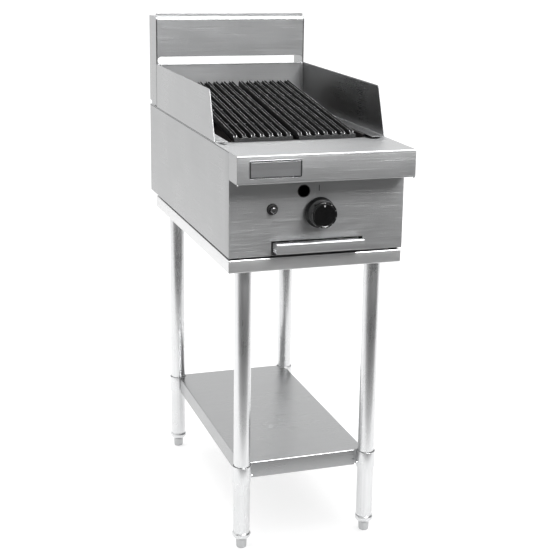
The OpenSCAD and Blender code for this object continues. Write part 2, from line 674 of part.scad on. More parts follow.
// The pilot: a hood on a bracket over the front of the burner, with its feed from the valve.
module pilot_burner() color(brass) {
    small_line([[knob_x - 14, y_manifold - 4, z_pilot - 30], [-33, y_manifold - 4, z_pilot - 30],
        [-33, y_pilot, z_pilot - 30], [-33, y_pilot, z_pilot - 14]], 2);
    rod_z(-33, y_pilot, z_pilot - 14, z_pilot, 5);
    box([-55, y_pilot - 5.5, z_pilot - 3], [-16, y_pilot - 4, z_pilot + 5]);
    box([-20, y_box0 + box_t, z_pilot - 3], [-16, y_pilot - 5, z_pilot - 1]);
}

module thermocouple() color(zinc) {
    small_line([[knob_x - 14, y_manifold - 20, kz - 4], [-45, y_manifold - 20, kz - 4],
        [-45, y_pilot, kz - 4], [-45, y_pilot, z_pilot - 10]], 1.6);
    rod_z(-45, y_pilot, z_pilot - 10, z_pilot + 12, 3);
}

module spark_electrode() color([0.9, 0.9, 0.86]) {
    small_line([[igniter_x, y_panel + 52, iz], [igniter_x, y_panel + 70, iz],
        [-26, y_panel + 70, iz], [-26, y_panel + 70, z_pilot - 30],
        [-26, y_pilot, z_pilot - 30], [-26, y_pilot, z_pilot - 16]], 1.6);
    rod_z(-26, y_pilot, z_pilot - 16, z_pilot, 1.6);
    rod_z(-26, y_pilot, z_pilot, z_pilot + 10, 1);
}

// ---- igniter ----

module igniter_body() color(black) difference() {
    union() {
        rod_y(igniter_x, iz, y_panel - 5, y_panel, 12.5);
        rod_y(igniter_x, iz, y_panel, y_panel + 52, 9);
        translate([igniter_x, y_panel + sheet_t, iz]) rotate([-90, 0, 0]) cylinder(h = 5, r = 14, $fn = 6);
    }
    rod_y(igniter_x, iz, y_panel - 6, y_panel + 18 + igniter_push, 7 + run_fit);
}

module igniter_button() color([0.75, 0.76, 0.78]) {
    rod_y(igniter_x, iz, y_panel - 13, y_panel + 17, 7);
    translate([igniter_x, y_panel - 13, iz]) rotate([90, 0, 0]) cylinder(h = 1, r1 = 7, r2 = 6);
}

// ---- drip tray ----

module drip_tray() color(sheet) {
    folded_tray([-tray_w / 2, y_tray0, tray_z0], [tray_w / 2, y_tray0 + tray_l, tray_z1], 1.2, false);
}

// The folded pull across the tray's front.
module tray_pull() color(steel) {
    y_face = y_panel - pull_out;
    along_x(-tray_w / 2 - 0.5, tray_w / 2 + 0.5, [[y_tray0, z_base + 8], [y_face, z_base + 8],
        [y_face, z_base + 30], [y_face + 8, z_base + 30], [y_face + 8, z_base + 28.6],
        [y_face + 1.4, z_base + 28.6], [y_face + 1.4, z_base + 9.4], [y_tray0, z_base + 9.4]]);
}

module tray_runners() color(zinc) for (s = [0, 1]) mirror([s, 0, 0]) {
    box([tray_w / 2 + 1, y_panel + 12, z_base + sheet_t], [tray_w / 2 + 2.5, y_panel + 720, z_base + 26]);
    box([tray_w / 2 - 16, y_panel + 12, z_base + sheet_t], [tray_w / 2 + 1, y_panel + 720, z_base + 3]);
}

stand_deck();
leg_sockets();
socket_screws();
leg(0);  // leg_front_left
leg(1);  // leg_front_right
leg(2);  // leg_rear_left
leg(3);  // leg_rear_right
leg_inserts();
foot(0);  // foot_front_left
foot(1);  // foot_front_right
foot(2);  // foot_rear_left
foot(3);  // foot_rear_right
undershelf();
shelf_brackets();
shelf_screws();
body_spacers();
body_bolts();
body_nuts();
base_pan();
side_panel(-1);  // side_panel_left
side_panel(1);  // side_panel_right
rear_panel();
rear_panel_screws();
control_panel();
hob();
nameplate();
firebox();
grease_chutes();
heat_shield();
side_guard(-1);  // side_guard_left
side_guard(1);  // side_guard_right
rear_guard();
splashback();
splash_top();
splash_brackets();
splash_screws();
grate(-1);  // grate_left
grate(1);  // grate_right
grate_rest();
radiants();
radiant_rails();
burner();
gas_inlet();
gas_pipe();
pipe_elbows();
manifold();
gas_valve();
valve_plug();
valve_stem();
valve_spring();
knob();
injector();
pilot_burner();
thermocouple();
spark_electrode();
igniter_body();
igniter_button();
drip_tray();
tray_pull();
tray_runners();
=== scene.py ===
"""Gas chargrill on a round-leg stand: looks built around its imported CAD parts.

Metres, +Z up, the controls face -Y. Every place is taken from the CAD parts' boxes.
"""

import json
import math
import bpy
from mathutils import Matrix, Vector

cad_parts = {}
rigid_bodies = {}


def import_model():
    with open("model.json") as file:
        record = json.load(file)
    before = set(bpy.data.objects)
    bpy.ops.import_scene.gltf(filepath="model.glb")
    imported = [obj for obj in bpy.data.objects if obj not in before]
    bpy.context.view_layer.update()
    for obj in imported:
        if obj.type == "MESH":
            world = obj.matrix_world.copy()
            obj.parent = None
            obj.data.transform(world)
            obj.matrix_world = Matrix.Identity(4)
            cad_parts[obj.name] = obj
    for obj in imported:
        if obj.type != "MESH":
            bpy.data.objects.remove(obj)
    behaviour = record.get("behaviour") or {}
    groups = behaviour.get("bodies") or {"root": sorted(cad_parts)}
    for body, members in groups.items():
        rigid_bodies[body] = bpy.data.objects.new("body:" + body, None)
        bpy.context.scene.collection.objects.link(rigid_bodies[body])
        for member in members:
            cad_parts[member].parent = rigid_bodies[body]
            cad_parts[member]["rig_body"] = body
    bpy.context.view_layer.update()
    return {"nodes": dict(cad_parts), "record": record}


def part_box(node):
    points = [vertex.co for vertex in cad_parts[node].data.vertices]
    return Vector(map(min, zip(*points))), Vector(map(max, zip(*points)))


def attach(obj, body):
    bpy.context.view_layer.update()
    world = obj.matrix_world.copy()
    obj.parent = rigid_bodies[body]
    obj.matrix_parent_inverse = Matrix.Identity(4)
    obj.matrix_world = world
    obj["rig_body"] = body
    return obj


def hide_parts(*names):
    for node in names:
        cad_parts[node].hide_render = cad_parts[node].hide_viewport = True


bl_info = {
    "name": "Chargrill on a Stand",
    "version": (1, 0, 0),
    "blender": (4, 5, 0),
    "location": "View3D > Sidebar > Chargrill",
    "description": "Builds the casing, grates, controls and stand of a gas chargrill around its CAD parts",
    "category": "Object",
}

import bmesh
import bpy
import numpy as np
from mathutils import Matrix, Vector
from mathutils.geometry import delaunay_2d_cdt

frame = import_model()

MM = 0.001
SLOT_OF = {row["node"]: row["material_slot"] for row in frame["record"]["subparts"]}
BODY_OF = {node: obj["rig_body"] for node, obj in frame["nodes"].items()}
STEEL_GREY = (0.43, 0.434, 0.438)
HAND = {-1: "left", 1: "right"}
UPRIGHT = ((1, 0, 0), (0, 0, 1))


def box(node):
    """The lowest and highest corners of a CAD node, as two arrays in millimetres."""
    lo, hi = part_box(node)
    return np.array(lo) / MM, np.array(hi) / MM


# ---- stock: points and faces of one piece, in millimetres ----


class Stock:
    """The points and faces of one piece, gathered part by part, with a finish number for each face."""

    def __init__(self):
        self.points, self.faces, self.finish, self.count = [], [], [], 0

    def add(self, part, finish=0):
        """Adds a part, a pair of a point array and a list of face index arrays; finish may be a list, one for each."""
        points, groups = part
        numbers = finish if isinstance(finish, list) else [finish] * len(groups)
        for group, number in zip(groups, numbers):
            rows = (np.asarray(group) + self.count).tolist()
            rows = rows if isinstance(rows[0], list) else [rows]
            self.faces += rows
            self.finish += [number] * len(rows)
        self.points.append(np.asarray(points, float))
        self.count += len(points)
        return self

    def piece(self, name, finishes, node=None, body=None, slot=None, sharp=32, thick=0, edge=0):
        """Makes the mesh object: each part's doubles merged, normals outward, then an optional wall and soft edges.

        It rides on the body of the CAD node that it stands in for, or on the body given; the slot argument is not used.
        """
        mesh = bpy.data.meshes.new(name)
        mesh.from_pydata((np.vstack(self.points) * MM).tolist(), [], self.faces)
        mesh.polygons.foreach_set("material_index", np.array(self.finish, np.int32))
        for finish in finishes:
            mesh.materials.append(finish)
        work = bmesh.new()
        work.from_mesh(mesh)
        work.verts.ensure_lookup_table()
        ends = np.cumsum([0] + [len(part) for part in self.points]).tolist()
        for part in [work.verts[a:b] for a, b in zip(ends, ends[1:])]:
            bmesh.ops.remove_doubles(work, verts=part, dist=1e-6)
        if not thick:
            bmesh.ops.recalc_face_normals(work, faces=work.faces)
        work.to_mesh(mesh)
        work.free()
        mesh.shade_smooth()
        mesh.set_sharp_from_angle(angle=math.radians(sharp))
        obj = bpy.data.objects.new(name, mesh)
        bpy.context.scene.collection.objects.link(obj)
        if thick:
            wall = obj.modifiers.new("wall", "SOLIDIFY")
            wall.thickness, wall.offset, wall.use_even_offset = thick * MM, -1, True
            wall.material_offset_rim = len(finishes) - 1
        if edge:
            soft = obj.modifiers.new("edge", "BEVEL")
            soft.width, soft.segments, soft.limit_method = edge * MM, 2, "ANGLE"
            soft.angle_limit, soft.harden_normals = math.radians(40), True
        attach(obj, body or BODY_OF[node])
        if node:
            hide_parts(node)
        return obj


def web(rows, columns, close_rows=False, close_columns=False):
    """Quads of a grid: cell (i, j) joins points i*columns+j, +1 along j and +columns along i, wrapping where closed."""
    i, j = np.meshgrid(np.arange(rows - (not close_rows)), np.arange(columns - (not close_columns)), indexing="ij")
    i, j = i.ravel(), j.ravel()
    i2, j2 = (i + 1) % rows, (j + 1) % columns
    return np.stack([i * columns + j, i * columns + j2, i2 * columns + j2, i2 * columns + j], 1)


def spread(x, y, z):
    """Points of a grid: its x, y and z arrays, each spread to the shape of all three, side by side as columns."""
    return np.stack([c.ravel() for c in np.broadcast_arrays(x, y, z)], 1)


def capped(rows, columns):
    """Faces of a closed tube of loops: the quads round it, the first loop turned over, and the last loop."""
    last = (rows - 1) * columns
    return [web(rows, columns, close_columns=True), np.arange(columns)[::-1], np.arange(last, last + columns)]


def bent_line(corners, radius, steps=5):
    """Points and left-hand normals of a line through corners, each inner corner an arc of the radius.

    The arc starts radius * tan(turn / 2) before the corner and its points turn evenly about its centre.
    """
    corners = np.asarray(corners, float)
    radii = np.broadcast_to(np.asarray(radius, float), len(corners))
    run = np.diff(corners, axis=0)
    run /= np.linalg.norm(run, axis=1)[:, None]
    left = np.stack([-run[:, 1], run[:, 0]], 1)
    points, normals = [corners[:1]], [left[:1]]
    for k in range(1, len(corners) - 1):
        turn = math.atan2(run[k - 1, 0] * run[k, 1] - run[k - 1, 1] * run[k, 0], run[k - 1] @ run[k])
        side = 1 if turn > 0 else -1
        centre = corners[k] - radii[k] * math.tan(abs(turn) / 2) * run[k - 1] + side * radii[k] * left[k - 1]
        swing = np.linspace(0, turn, steps + 1)[:, None]
        normal = np.cos(swing) * left[k - 1] + np.sin(swing) * np.array([-left[k - 1, 1], left[k - 1, 0]])
        points.append(centre - side * radii[k] * normal)
        normals.append(normal)
    points.append(corners[-1:])
    normals.append(left[-1:])
    return np.vstack(points), np.vstack(normals)


def bent_sheet(corners, thick, radius, side=1):
    """Closed outline of a folded sheet: the bent line, then the same line moved thick along its normal, backwards."""
    line, normal = bent_line(corners, radius)
    return np.vstack([line, (line + side * thick * normal)[::-1]])


def carried(outline, start, end, across):
    """A closed outline of (p, q) carried from start to end: point = place + p * across + q * Z, with flat ends."""
    outline = np.asarray(outline, float)
    flat = outline[:, :1] * np.asarray(across, float) + outline[:, 1:] * np.array([0.0, 0.0, 1.0])
    points = np.vstack([flat + np.asarray(start, float), flat + np.asarray(end, float)])
    return points, capped(2, len(outline))


def along_x(outline, a, b):
    """A closed (y, z) outline carried along X from a to b."""
    return carried(outline, (a, 0, 0), (b, 0, 0), (0, 1, 0))


def block(lo, hi):
    """A plain bar between two opposite corners: its (y, z) rectangle carried along X."""
    return along_x([(lo[1], lo[2]), (hi[1], lo[2]), (hi[1], hi[2]), (lo[1], hi[2])], lo[0], hi[0])


def rounded_rectangle(half_x, half_y, radius):
    """Closed loop: four arcs of the radius about the corners' centres, a quarter turn each."""
    angle = np.linspace(0, math.pi / 2, 7)
    x, y = half_x - radius, half_y - radius
    arcs = [(sx * x + radius * np.cos(angle + turn), sy * y + radius * np.sin(angle + turn))
            for sx, sy, turn in ((1, 1, 0), (-1, 1, math.pi / 2), (-1, -1, math.pi), (1, -1, 3 * math.pi / 2))]
    return np.vstack([np.stack(arc, 1) for arc in arcs])


def carried_round(profile, centre, half, corner, axes=((1, 0, 0), (0, 1, 0), (0, 0, 1)), ring=False):
    """A profile of (inset, height) carried round a rectangle, its corner radius shrinking by the inset.

    Capped at both ends, or as a ring the last loop joins the first.
    """
    loops = [rounded_rectangle(half[0] - inset, half[1] - inset, max(corner - inset, 0.05)) for inset, _ in profile]
    n, m = len(profile), len(loops[0])
    points = np.column_stack([np.vstack(loops), np.repeat([height for _, height in profile], m)])
    points = points @ np.asarray(axes, float) + np.asarray(centre, float)
    return points, [web(n, m, close_rows=True, close_columns=True)] if ring else capped(n, m)


def turned(profile, centre, axis="z", steps=64, closed=False, wave=None):
    """A profile of (radius, height) turned about a line: radius * (cos a, sin a) across and height along.

    Wave, if given, is a function of a that multiplies the radius.
    """
    profile = np.asarray(profile, float)
    a = np.linspace(0, 2 * math.pi, steps, endpoint=False)[None, :]
    r, h = profile[:, :1], profile[:, 1:]
    if wave is not None:
        r = r * wave(a)
    u, v = r * np.cos(a), r * np.sin(a)
    points = spread(*{"z": (u, v, h), "y": (v, h, u)}[axis]) + np.asarray(centre, float)
    return points, [web(len(profile), steps, close_rows=closed, close_columns=True)]


def circle(x, y, radius, steps=40):
    """Points of a circle, evenly turned."""
    a = np.linspace(0, 2 * math.pi, steps, endpoint=False)
    return np.stack([x + radius * np.cos(a), y + radius * np.sin(a)], 1)


def pierced(outline, holes, thick, origin, across, up, through):
    """A flat sheet: the outline less its holes, in triangles, then carried thick along through, walled at each loop.

    A triangle stays where a line from its middle crosses the loops an odd number of times.
    """
    loops = [np.asarray(loop, float) for loop in (outline, *holes)]
    starts = np.cumsum([0] + [len(loop) for loop in loops])
    edges = [(int(s + k), int(s + (k + 1) % len(loop))) for s, loop in zip(starts, loops) for k in range(len(loop))]
    flat, _, triangles, *_ = delaunay_2d_cdt([Vector(p) for p in np.vstack(loops)], edges, [], 0, 1e-7)
    flat = np.array([tuple(p) for p in flat])
    triangles = np.array([list(t) for t in triangles])
    middle = flat[triangles].mean(axis=1)[:, None, :]
    a, b = flat[[e[0] for e in edges]], flat[[e[1] for e in edges]]
    crosses = (a[:, 1] > middle[..., 1]) != (b[:, 1] > middle[..., 1])
    rise = np.where(a[:, 1] == b[:, 1], 1.0, b[:, 1] - a[:, 1])
    meets = a[:, 0] + (middle[..., 1] - a[:, 1]) / rise * (b[:, 0] - a[:, 0])
    front = triangles[(crosses & (middle[..., 0] < meets)).sum(axis=1) % 2 == 1]
    place = flat[:, :1] * np.asarray(across, float) + flat[:, 1:] * np.asarray(up, float) + np.asarray(origin, float)
    points = np.vstack([place, place + thick * np.asarray(through, float)])
    walls, n = np.array(edges), len(flat)
    return points, [front, front[:, ::-1] + n, np.column_stack([walls, walls[:, ::-1] + n])]




# ---- finishes: procedural materials, with shader sums written as expressions ----


class Field:
    """A shader value; +, -, * and / with numbers or other fields each add one Math node."""

    def __init__(self, finish, socket):
        self.finish, self.socket = finish, socket

    def _math(self, operation, first, second):
        return self.finish.node("ShaderNodeMath", {"operation": operation}, {0: first, 1: second})

    def __add__(self, other):
        return self._math("ADD", self, other)

    def __sub__(self, other):
        return self._math("SUBTRACT", self, other)

    def __rsub__(self, other):
        return self._math("SUBTRACT", other, self)

    def __mul__(self, other):
        return self._math("MULTIPLY", self, other)

    def __truediv__(self, other):
        return self._math("DIVIDE", self, other)

    __radd__ = __add__
    __rmul__ = __mul__


def scaled(tone, share):
    """A colour with each of its parts times share."""
    return tuple(share * c for c in tone)


class Finish:
    """One material: a Principled surface whose sockets take numbers, colours or fields. A world works the same way."""

    def __init__(self, name, world=None, **constants):
        self.material = world or bpy.data.materials.new(name)
        self.material.use_nodes = True
        self.tree = self.material.node_tree
        self.surface = self.tree.nodes["Background" if world else "Principled BSDF"]
        self.set(**constants)

    def set(self, **sockets):
        """Sets or links sockets of the Principled surface; a name's underscores stand for spaces."""
        for name, value in sockets.items():
            self._feed(self.surface.inputs[name.replace("_", " ")], value)
        return self

    def _feed(self, socket, value):
        if isinstance(value, Field):
            self.tree.links.new(value.socket, socket)
        elif socket.type == "RGBA" and len(value) == 3:
            socket.default_value = (*value, 1)
        else:
            socket.default_value = value

    def node(self, kind, settings=None, values=None, output=0):
        """Adds a node: its settings first, then its sockets; gives one output as a field."""
        node = self.tree.nodes.new(kind)
        for key, value in (settings or {}).items():
            setattr(node, key, value)
        for key, value in (values or {}).items():
            self._feed(node.inputs[key], value)
        return Field(self, node.outputs[output])

    def at(self, scale=(1, 1, 1)):
        """Object coordinates in metres, scaled by a Mapping node."""
        here = self.node("ShaderNodeTexCoord", output=3)
        return self.node("ShaderNodeMapping", None, {"Vector": here, "Scale": scale})

    def noise(self, vector, scale, detail=2.0, rough=0.5):
        """Smooth noise, 0 to 1, at a number of lumps per unit of the vector."""
        return self.node("ShaderNodeTexNoise", None,
                         {"Vector": vector, "Scale": scale, "Detail": detail, "Roughness": rough})

    def blend(self, share, a, b):
        """Colour a where share is 0, colour b where it is 1."""
        return self.node("ShaderNodeMix", {"data_type": "RGBA"}, {"Factor": share, 6: a, 7: b}, 2)

    def easing(self, value, start, end):
        """0 before start, 1 after end, and a smooth step between."""
        return self.node("ShaderNodeMapRange", {"interpolation_type": "SMOOTHSTEP"},
                         {"Value": value, "From Min": start, "From Max": end})

    def between(self, share, tone, low, high):
        """The tone times low where share is 0, and the tone times high, at most 1, where it is 1."""
        return self.blend(share, scaled(tone, low), tuple(min(1.0, c) for c in scaled(tone, high)))

    def relief(self, height, depth):
        """A bump: the height field at a depth in metres."""
        return self.node("ShaderNodeBump", None, {"Height": height, "Distance": depth, "Strength": 1.0})


def brushed(name, tone, grain="x", rough=0.36, scratch=0.4):
    """Brushed stainless sheet: noise stretched along the grain for the strokes, broad clouds for handling marks."""
    f = Finish(name, Metallic=1.0)

    def along(slow, fast):
        """A pattern scale: slow along the grain, fast across it."""
        return tuple(slow if axis == grain else fast for axis in "xyz")

    strokes = f.noise(f.at(along(6.0, 900.0)), 1.0, 3.0, 0.6)
    bands = f.noise(f.at(along(2.0, 60.0)), 1.0, 2.0)
    clouds = f.noise(f.at(), 7.0, 4.0, 0.55)
    shade = 1 + (strokes - 0.5) * 0.10 + (bands - 0.5) * 0.05 + (clouds - 0.5) * 0.05
    f.set(Base_Color=f.between((shade - 0.6) / 0.8, tone, 0.6, 1.4),
          Roughness=rough + (strokes - 0.5) * 0.16 + (clouds - 0.5) * 0.14,
          Normal=f.relief(strokes, 0.0003 * scratch))
    return f.material


def polished(name, tone, rough):
    """Polished tube or trim: faint upright draw lines and a few dull clouds."""
    f = Finish(name, Metallic=1.0)
    lines = f.noise(f.at((420, 420, 3)), 1.0, 2.0)
    clouds = f.noise(f.at(), 12.0, 3.0)
    f.set(Base_Color=f.between(lines * 0.5 + clouds * 0.5, tone, 0.8, 1.12),
          Roughness=rough + (clouds - 0.5) * 0.10 + (lines - 0.5) * 0.05,
          Normal=f.relief(lines, 0.000004))
    return f.material


def spangled(name, tone, rough=0.42, cells=160.0):
    """Coated dull sheet or galvanised pipe: angular crystal cells of slightly different grey, and heat clouds."""
    f = Finish(name, Metallic=0.9)
    cell = f.node("ShaderNodeTexVoronoi", None, {"Vector": f.at(), "Scale": cells}, 1)
    grey = f.node("ShaderNodeRGBToBW", None, {"Color": cell})
    clouds = f.noise(f.at(), 18.0, 4.0)
    f.set(Base_Color=f.between(grey * 0.45 + clouds * 0.55, tone, 0.72, 1.2),
          Roughness=rough + (grey - 0.5) * 0.16 + (clouds - 0.5) * 0.12,
          Normal=f.relief(clouds, 0.00006))
    return f.material


def cast_iron(name, tone):
    """Seasoned casting: sandy grain as bump, darker pits, a dull oily sheen that comes and goes."""
    f = Finish(name, Metallic=0.0, Specular_IOR_Level=0.35)
    sand = f.noise(f.at(), 900.0, 4.0, 0.65)
    lumps = f.noise(f.at(), 90.0, 3.0)
    oil = f.noise(f.at(), 25.0, 3.0)
    f.set(Base_Color=f.between(sand * 0.5 + lumps * 0.5, tone, 0.45, 1.9),
          Roughness=0.52 + (oil - 0.5) * 0.30 + (sand - 0.5) * 0.2,
          Normal=f.relief(sand * 0.6 + lumps, 0.00035))
    return f.material


def worn_and_highlit_iron(name):
    """Iron rubbed bright on its edges: scraped steel showing through the seasoning in broken patches. Partly real wear
    and partly painted highlight: it lightens the rib edges and rib ends where thin highlights and glints fall.
    """
    f = Finish(name)
    scrape = f.noise(f.at((1, 0.12, 1)), 260.0, 3.0, 0.6)
    bare = f.easing(scrape, 0.40, 0.62)
    grain = f.noise(f.at(), 900.0, 3.0)
    f.set(Base_Color=f.blend(bare, (0.03, 0.03, 0.031), (0.42, 0.42, 0.425)), Metallic=bare * 0.9,
          Roughness=0.34 + (grain - 0.5) * 0.3, Normal=f.relief(grain, 0.0001))
    return f.material


def bright(name, tone, rough, mark=0.00003):
    """Plated or machined metal: fine tool marks and thin dull patches."""
    f = Finish(name, Metallic=1.0)
    marks = f.noise(f.at(), 700.0, 3.0, 0.6)
    dull = f.noise(f.at(), 60.0, 3.0)
    f.set(Base_Color=f.between(dull, tone, 0.78, 1.14), Roughness=rough + (dull - 0.5) * 0.16 + (marks - 0.5) * 0.08,
          Normal=f.relief(marks, mark))
    return f.material


def moulded(name, tone, rough, grain=0.00004, coat=0.0):
    """Moulded plastic, rubber or glaze: a faint orange-peel bump and finger wear in the gloss."""
    f = Finish(name, Metallic=0.0, Coat_Weight=coat, Coat_Roughness=0.08)
    peel = f.noise(f.at(), 1400.0, 2.0)
    wear = f.noise(f.at(), 80.0, 3.0)
    f.set(Base_Color=f.between(wear, tone, 0.75, 1.3), Roughness=rough + (wear - 0.5) * 0.18,
          Normal=f.relief(peel, grain))
    return f.material


# ---- what a user may change ----


class ChargrillSizes(bpy.types.PropertyGroup):
    """Sizes of the details that the looks add to the CAD parts."""

    fold_radius: bpy.props.FloatProperty(
        name="Fold Radius", description="Outside radius of the folds in the stainless sheets, in millimetres",
        default=2.2, min=1.5, max=4.0)
    sheet_wave: bpy.props.FloatProperty(
        name="Sheet Wave", description="How far the large flat sheets wander from true, in millimetres",
        default=0.18, min=0.0, max=0.5)
    edge_soft: bpy.props.FloatProperty(
        name="Edge Softening", description="Width of the softened edge on cut sheet, in millimetres",
        default=0.3, min=0.05, max=0.5)
    rib_groove: bpy.props.FloatProperty(
        name="Rib Groove", description="Depth of the groove along each grate rib's top, in millimetres",
        default=5.0, min=1.0, max=7.0)
    pointer_length: bpy.props.FloatProperty(
        name="Pointer Length", description="Length of the knob's pointer mark, in millimetres",
        default=5.5, min=4.0, max=14.0)


class ChargrillColours(bpy.types.PropertyGroup):
    """Base colours of the main finishes."""

    casing: bpy.props.FloatVectorProperty(
        name="Casing Steel", description="Tone of the brushed stainless sheets", subtype="COLOR",
        default=STEEL_GREY, min=0, max=1)
    tube: bpy.props.FloatVectorProperty(
        name="Polished Steel", description="Tone of the polished legs and trim", subtype="COLOR",
        default=(0.74, 0.745, 0.75), min=0, max=1)
    iron: bpy.props.FloatVectorProperty(
        name="Cast Iron", description="Tone of the grates and radiants", subtype="COLOR",
        default=(0.01, 0.01, 0.0105), min=0, max=1)
    knob: bpy.props.FloatVectorProperty(
        name="Knob", description="Colour of the control knob", subtype="COLOR",
        default=(0.004, 0.004, 0.0042), min=0, max=1)
    mark: bpy.props.FloatVectorProperty(
        name="Marks", description="Colour of the pointer mark", subtype="COLOR",
        default=(0.8, 0.8, 0.78), min=0, max=1)


FINISHES = {}


def finish(name):
    """A finish by its slot name, made once."""
    if not FINISHES:
        c = bpy.context.scene.chargrill_colours
        casing, tube = tuple(c.casing), tuple(c.tube)
        FINISHES.update({
            # The multiples of the casing tone in this table are painted light and shade: the same brushed stainless,
            # made lighter or darker sheet by sheet for how brightly each face is lit.
            "stainless_casing": brushed("brushed_upright", casing, "z"),
            "casing_along": brushed("brushed_along", scaled(casing, 1.1), "x", 0.42, 1.3),
            "ledge_sheet": brushed("brushed_ledge", scaled(casing, 0.93), "x", 0.42, 1.3),
            "casing_back": brushed("brushed_front_to_back", scaled(casing, 0.76), "y", 0.3, 0.3),
            "deck_sheet": brushed("brushed_deck", scaled(casing, 1.7), "x", 0.4, 0.9),
            "splash_sheet": brushed("brushed_splash", scaled(casing, 0.72), "x", 0.42, 0.9),
            "guard_sheet": brushed("brushed_guard", scaled(casing, 0.8), "y", 0.3, 0.1),
            "rear_sheet": brushed("brushed_rear", scaled(casing, 1.15), "x", 0.42, 1.0),
            # Near-black seam finish: painted shadow in the narrow gaps where sheets meet.
            "seam_shadow": moulded("painted_seam_shadow", (0.01, 0.01, 0.01), 0.7),
            "shelf_sheet": brushed("brushed_shelf", scaled(casing, 0.88), "x", 0.3, 0.2),
            "trim_bright": polished("bright_trim", tube, 0.22),
            "grate_iron": cast_iron("grate_iron", tuple(c.iron)),
            "worn_and_highlit_iron": worn_and_highlit_iron("worn_and_highlit_rib_edges"),
            # Near-black steel: painted shade for the parts in the recess under the grates.
            "shaded_interior_steel": spangled("painted_shade_interior_steel", (0.055, 0.05, 0.048), 0.55, 60.0),
            "stainless_polished": polished("polished_tube", tube, 0.28),
            "aluminised_steel": spangled("aluminised_sheet", (0.42, 0.425, 0.43)),
            "cast_iron": cast_iron("seasoned_iron", tuple(c.iron)),
            "zinc_fastener": bright("zinc_plate", (0.56, 0.57, 0.58), 0.28),
            "foot_metal": polished("foot_steel", (0.50, 0.505, 0.51), 0.3),
            "spacer_rubber": moulded("spacer_rubber", (0.012, 0.012, 0.012), 0.8, 0.00008),
            "nameplate_metal": brushed("nameplate_sheet", (0.50, 0.505, 0.515), "x", 0.34),
            "nameplate_rim": moulded("nameplate_rim", (0.006, 0.006, 0.0065), 0.6),
            "zinc_pipe": spangled("galvanised_pipe", (0.40, 0.41, 0.42), 0.5, 260.0),
            "brass_parts": bright("machined_brass", (0.62, 0.42, 0.16), 0.3),
            "knob_black": moulded("knob_gloss", tuple(c.knob), 0.16, 0.00001, 0.3),
            "knob_mark": moulded("pointer_paint", tuple(c.mark), 0.5),
            # Dark ink: real print on the index line, and painted shade on the sight hole's lining.
            "index_mark": moulded("index_ink_and_hole_shade", (0.03, 0.03, 0.03), 0.6),
            "copper_line": bright("copper_line", (0.70, 0.36, 0.20), 0.26),
            "electrode_ceramic": moulded("glazed_ceramic", (0.80, 0.78, 0.72), 0.2),
            "igniter_black": moulded("igniter_moulding", (0.004, 0.004, 0.0045), 0.65),
            "button_chrome": bright("button_chrome", (0.22, 0.22, 0.225), 0.28, 0.000005),
            "cut_edge": brushed("sheared_edge", scaled(casing, 0.8), "z", 0.6, 0.5),
        })
    return FINISHES[name]




# ---- stand ----

CORNERS = ("front_left", "front_right", "rear_left", "rear_right")


def leg_line(where):
    """Centre (x, y) and radius of a leg tube."""
    lo, hi = box("leg_" + where)
    return (lo[:2] + hi[:2]) / 2, (hi[0] - lo[0]) / 2


class CHARGRILL_OT_legs(bpy.types.Operator):
    """Turn the four polished leg tubes"""

    bl_idname = "chargrill.legs"
    bl_label = "Legs"

    def execute(self, context):
        for where in CORNERS:
            lo, hi = box("leg_" + where)
            (x, y), r = leg_line(where)
            wall, _ = bent_line([(r - 1.5, lo[2]), (r, lo[2]), (r, hi[2]), (r - 1.5, hi[2])], 0.4, 3)
            Stock().add(turned(wall, (x, y, 0), steps=96, closed=True)).piece(
                "leg_tube_" + where, [finish("stainless_polished")], "leg_" + where)
        return {"FINISHED"}


class CHARGRILL_OT_feet(bpy.types.Operator):
    """Turn the bulged rings under the legs and the four screw feet"""

    bl_idname = "chargrill.feet"
    bl_label = "Leg Rings and Feet"

    def execute(self, context):
        rings = Stock()
        lo, hi = box("leg_inserts")
        bottom, top = lo[2], hi[2]
        for where in CORNERS:
            foot_lo, foot_hi = box("foot_" + where)
            (x, y), leg_r = leg_line(where)
            end = box("leg_" + where)[0][2] - 0.1
            ring, _ = bent_line([(6.05, top), (6.05, bottom), (16.6, bottom), (19.6, bottom + 3.5), (21.5, bottom + 8),
                                 (21.5, bottom + 11.2), (20.2, end), (leg_r - 1.5, end), (leg_r - 1.5, top),
                                 (6.05, top)], [0, 0.3, 1.0, 4.0, 1.6, 1.4, 0.5, 0.3, 0.5, 0], 4)
            rings.add(turned(ring[:-1], (x, y, 0), steps=72, closed=True))
            r = (foot_hi[0] - foot_lo[0]) / 2
            foot, _ = bent_line([(0, 0), (r - 1.4, 0), (r - 0.6, 3.5), (r, bottom - 3.5), (r - 0.7, bottom - 0.5),
                                 (6, bottom - 0.5), (6, foot_hi[2]), (0, foot_hi[2])],
                                [0, 1.2, 1.5, 1.2, 0.5, 0.3, 0.8, 0], 4)
            Stock().add(turned(foot, (x, y, 0), steps=64)).piece(
                "screw_foot_" + where, [finish("foot_metal")], "foot_" + where)
        rings.piece("leg_rings", [finish("stainless_polished")], "leg_inserts")
        return {"FINISHED"}


class CHARGRILL_OT_deck(bpy.types.Operator):
    """Fold the stand's deck: a flat top, rounded bends, upright edges and a return lip under them"""

    bl_idname = "chargrill.deck"
    bl_label = "Stand Deck"

    def execute(self, context):
        sizes = context.scene.chargrill_sizes
        lo, hi = box("stand_deck")
        fold = bent_sheet([(8, hi[2]), (0, hi[2]), (0, lo[2]), (12, lo[2])], 1.5, sizes.fold_radius, 1)
        middle, half = (lo + hi) / 2, (hi - lo) / 2
        Stock().add(carried_round(fold, (middle[0], middle[1], 0), half, 2.4)).piece(
            "folded_deck", [finish("deck_sheet")], "stand_deck")
        return {"FINISHED"}


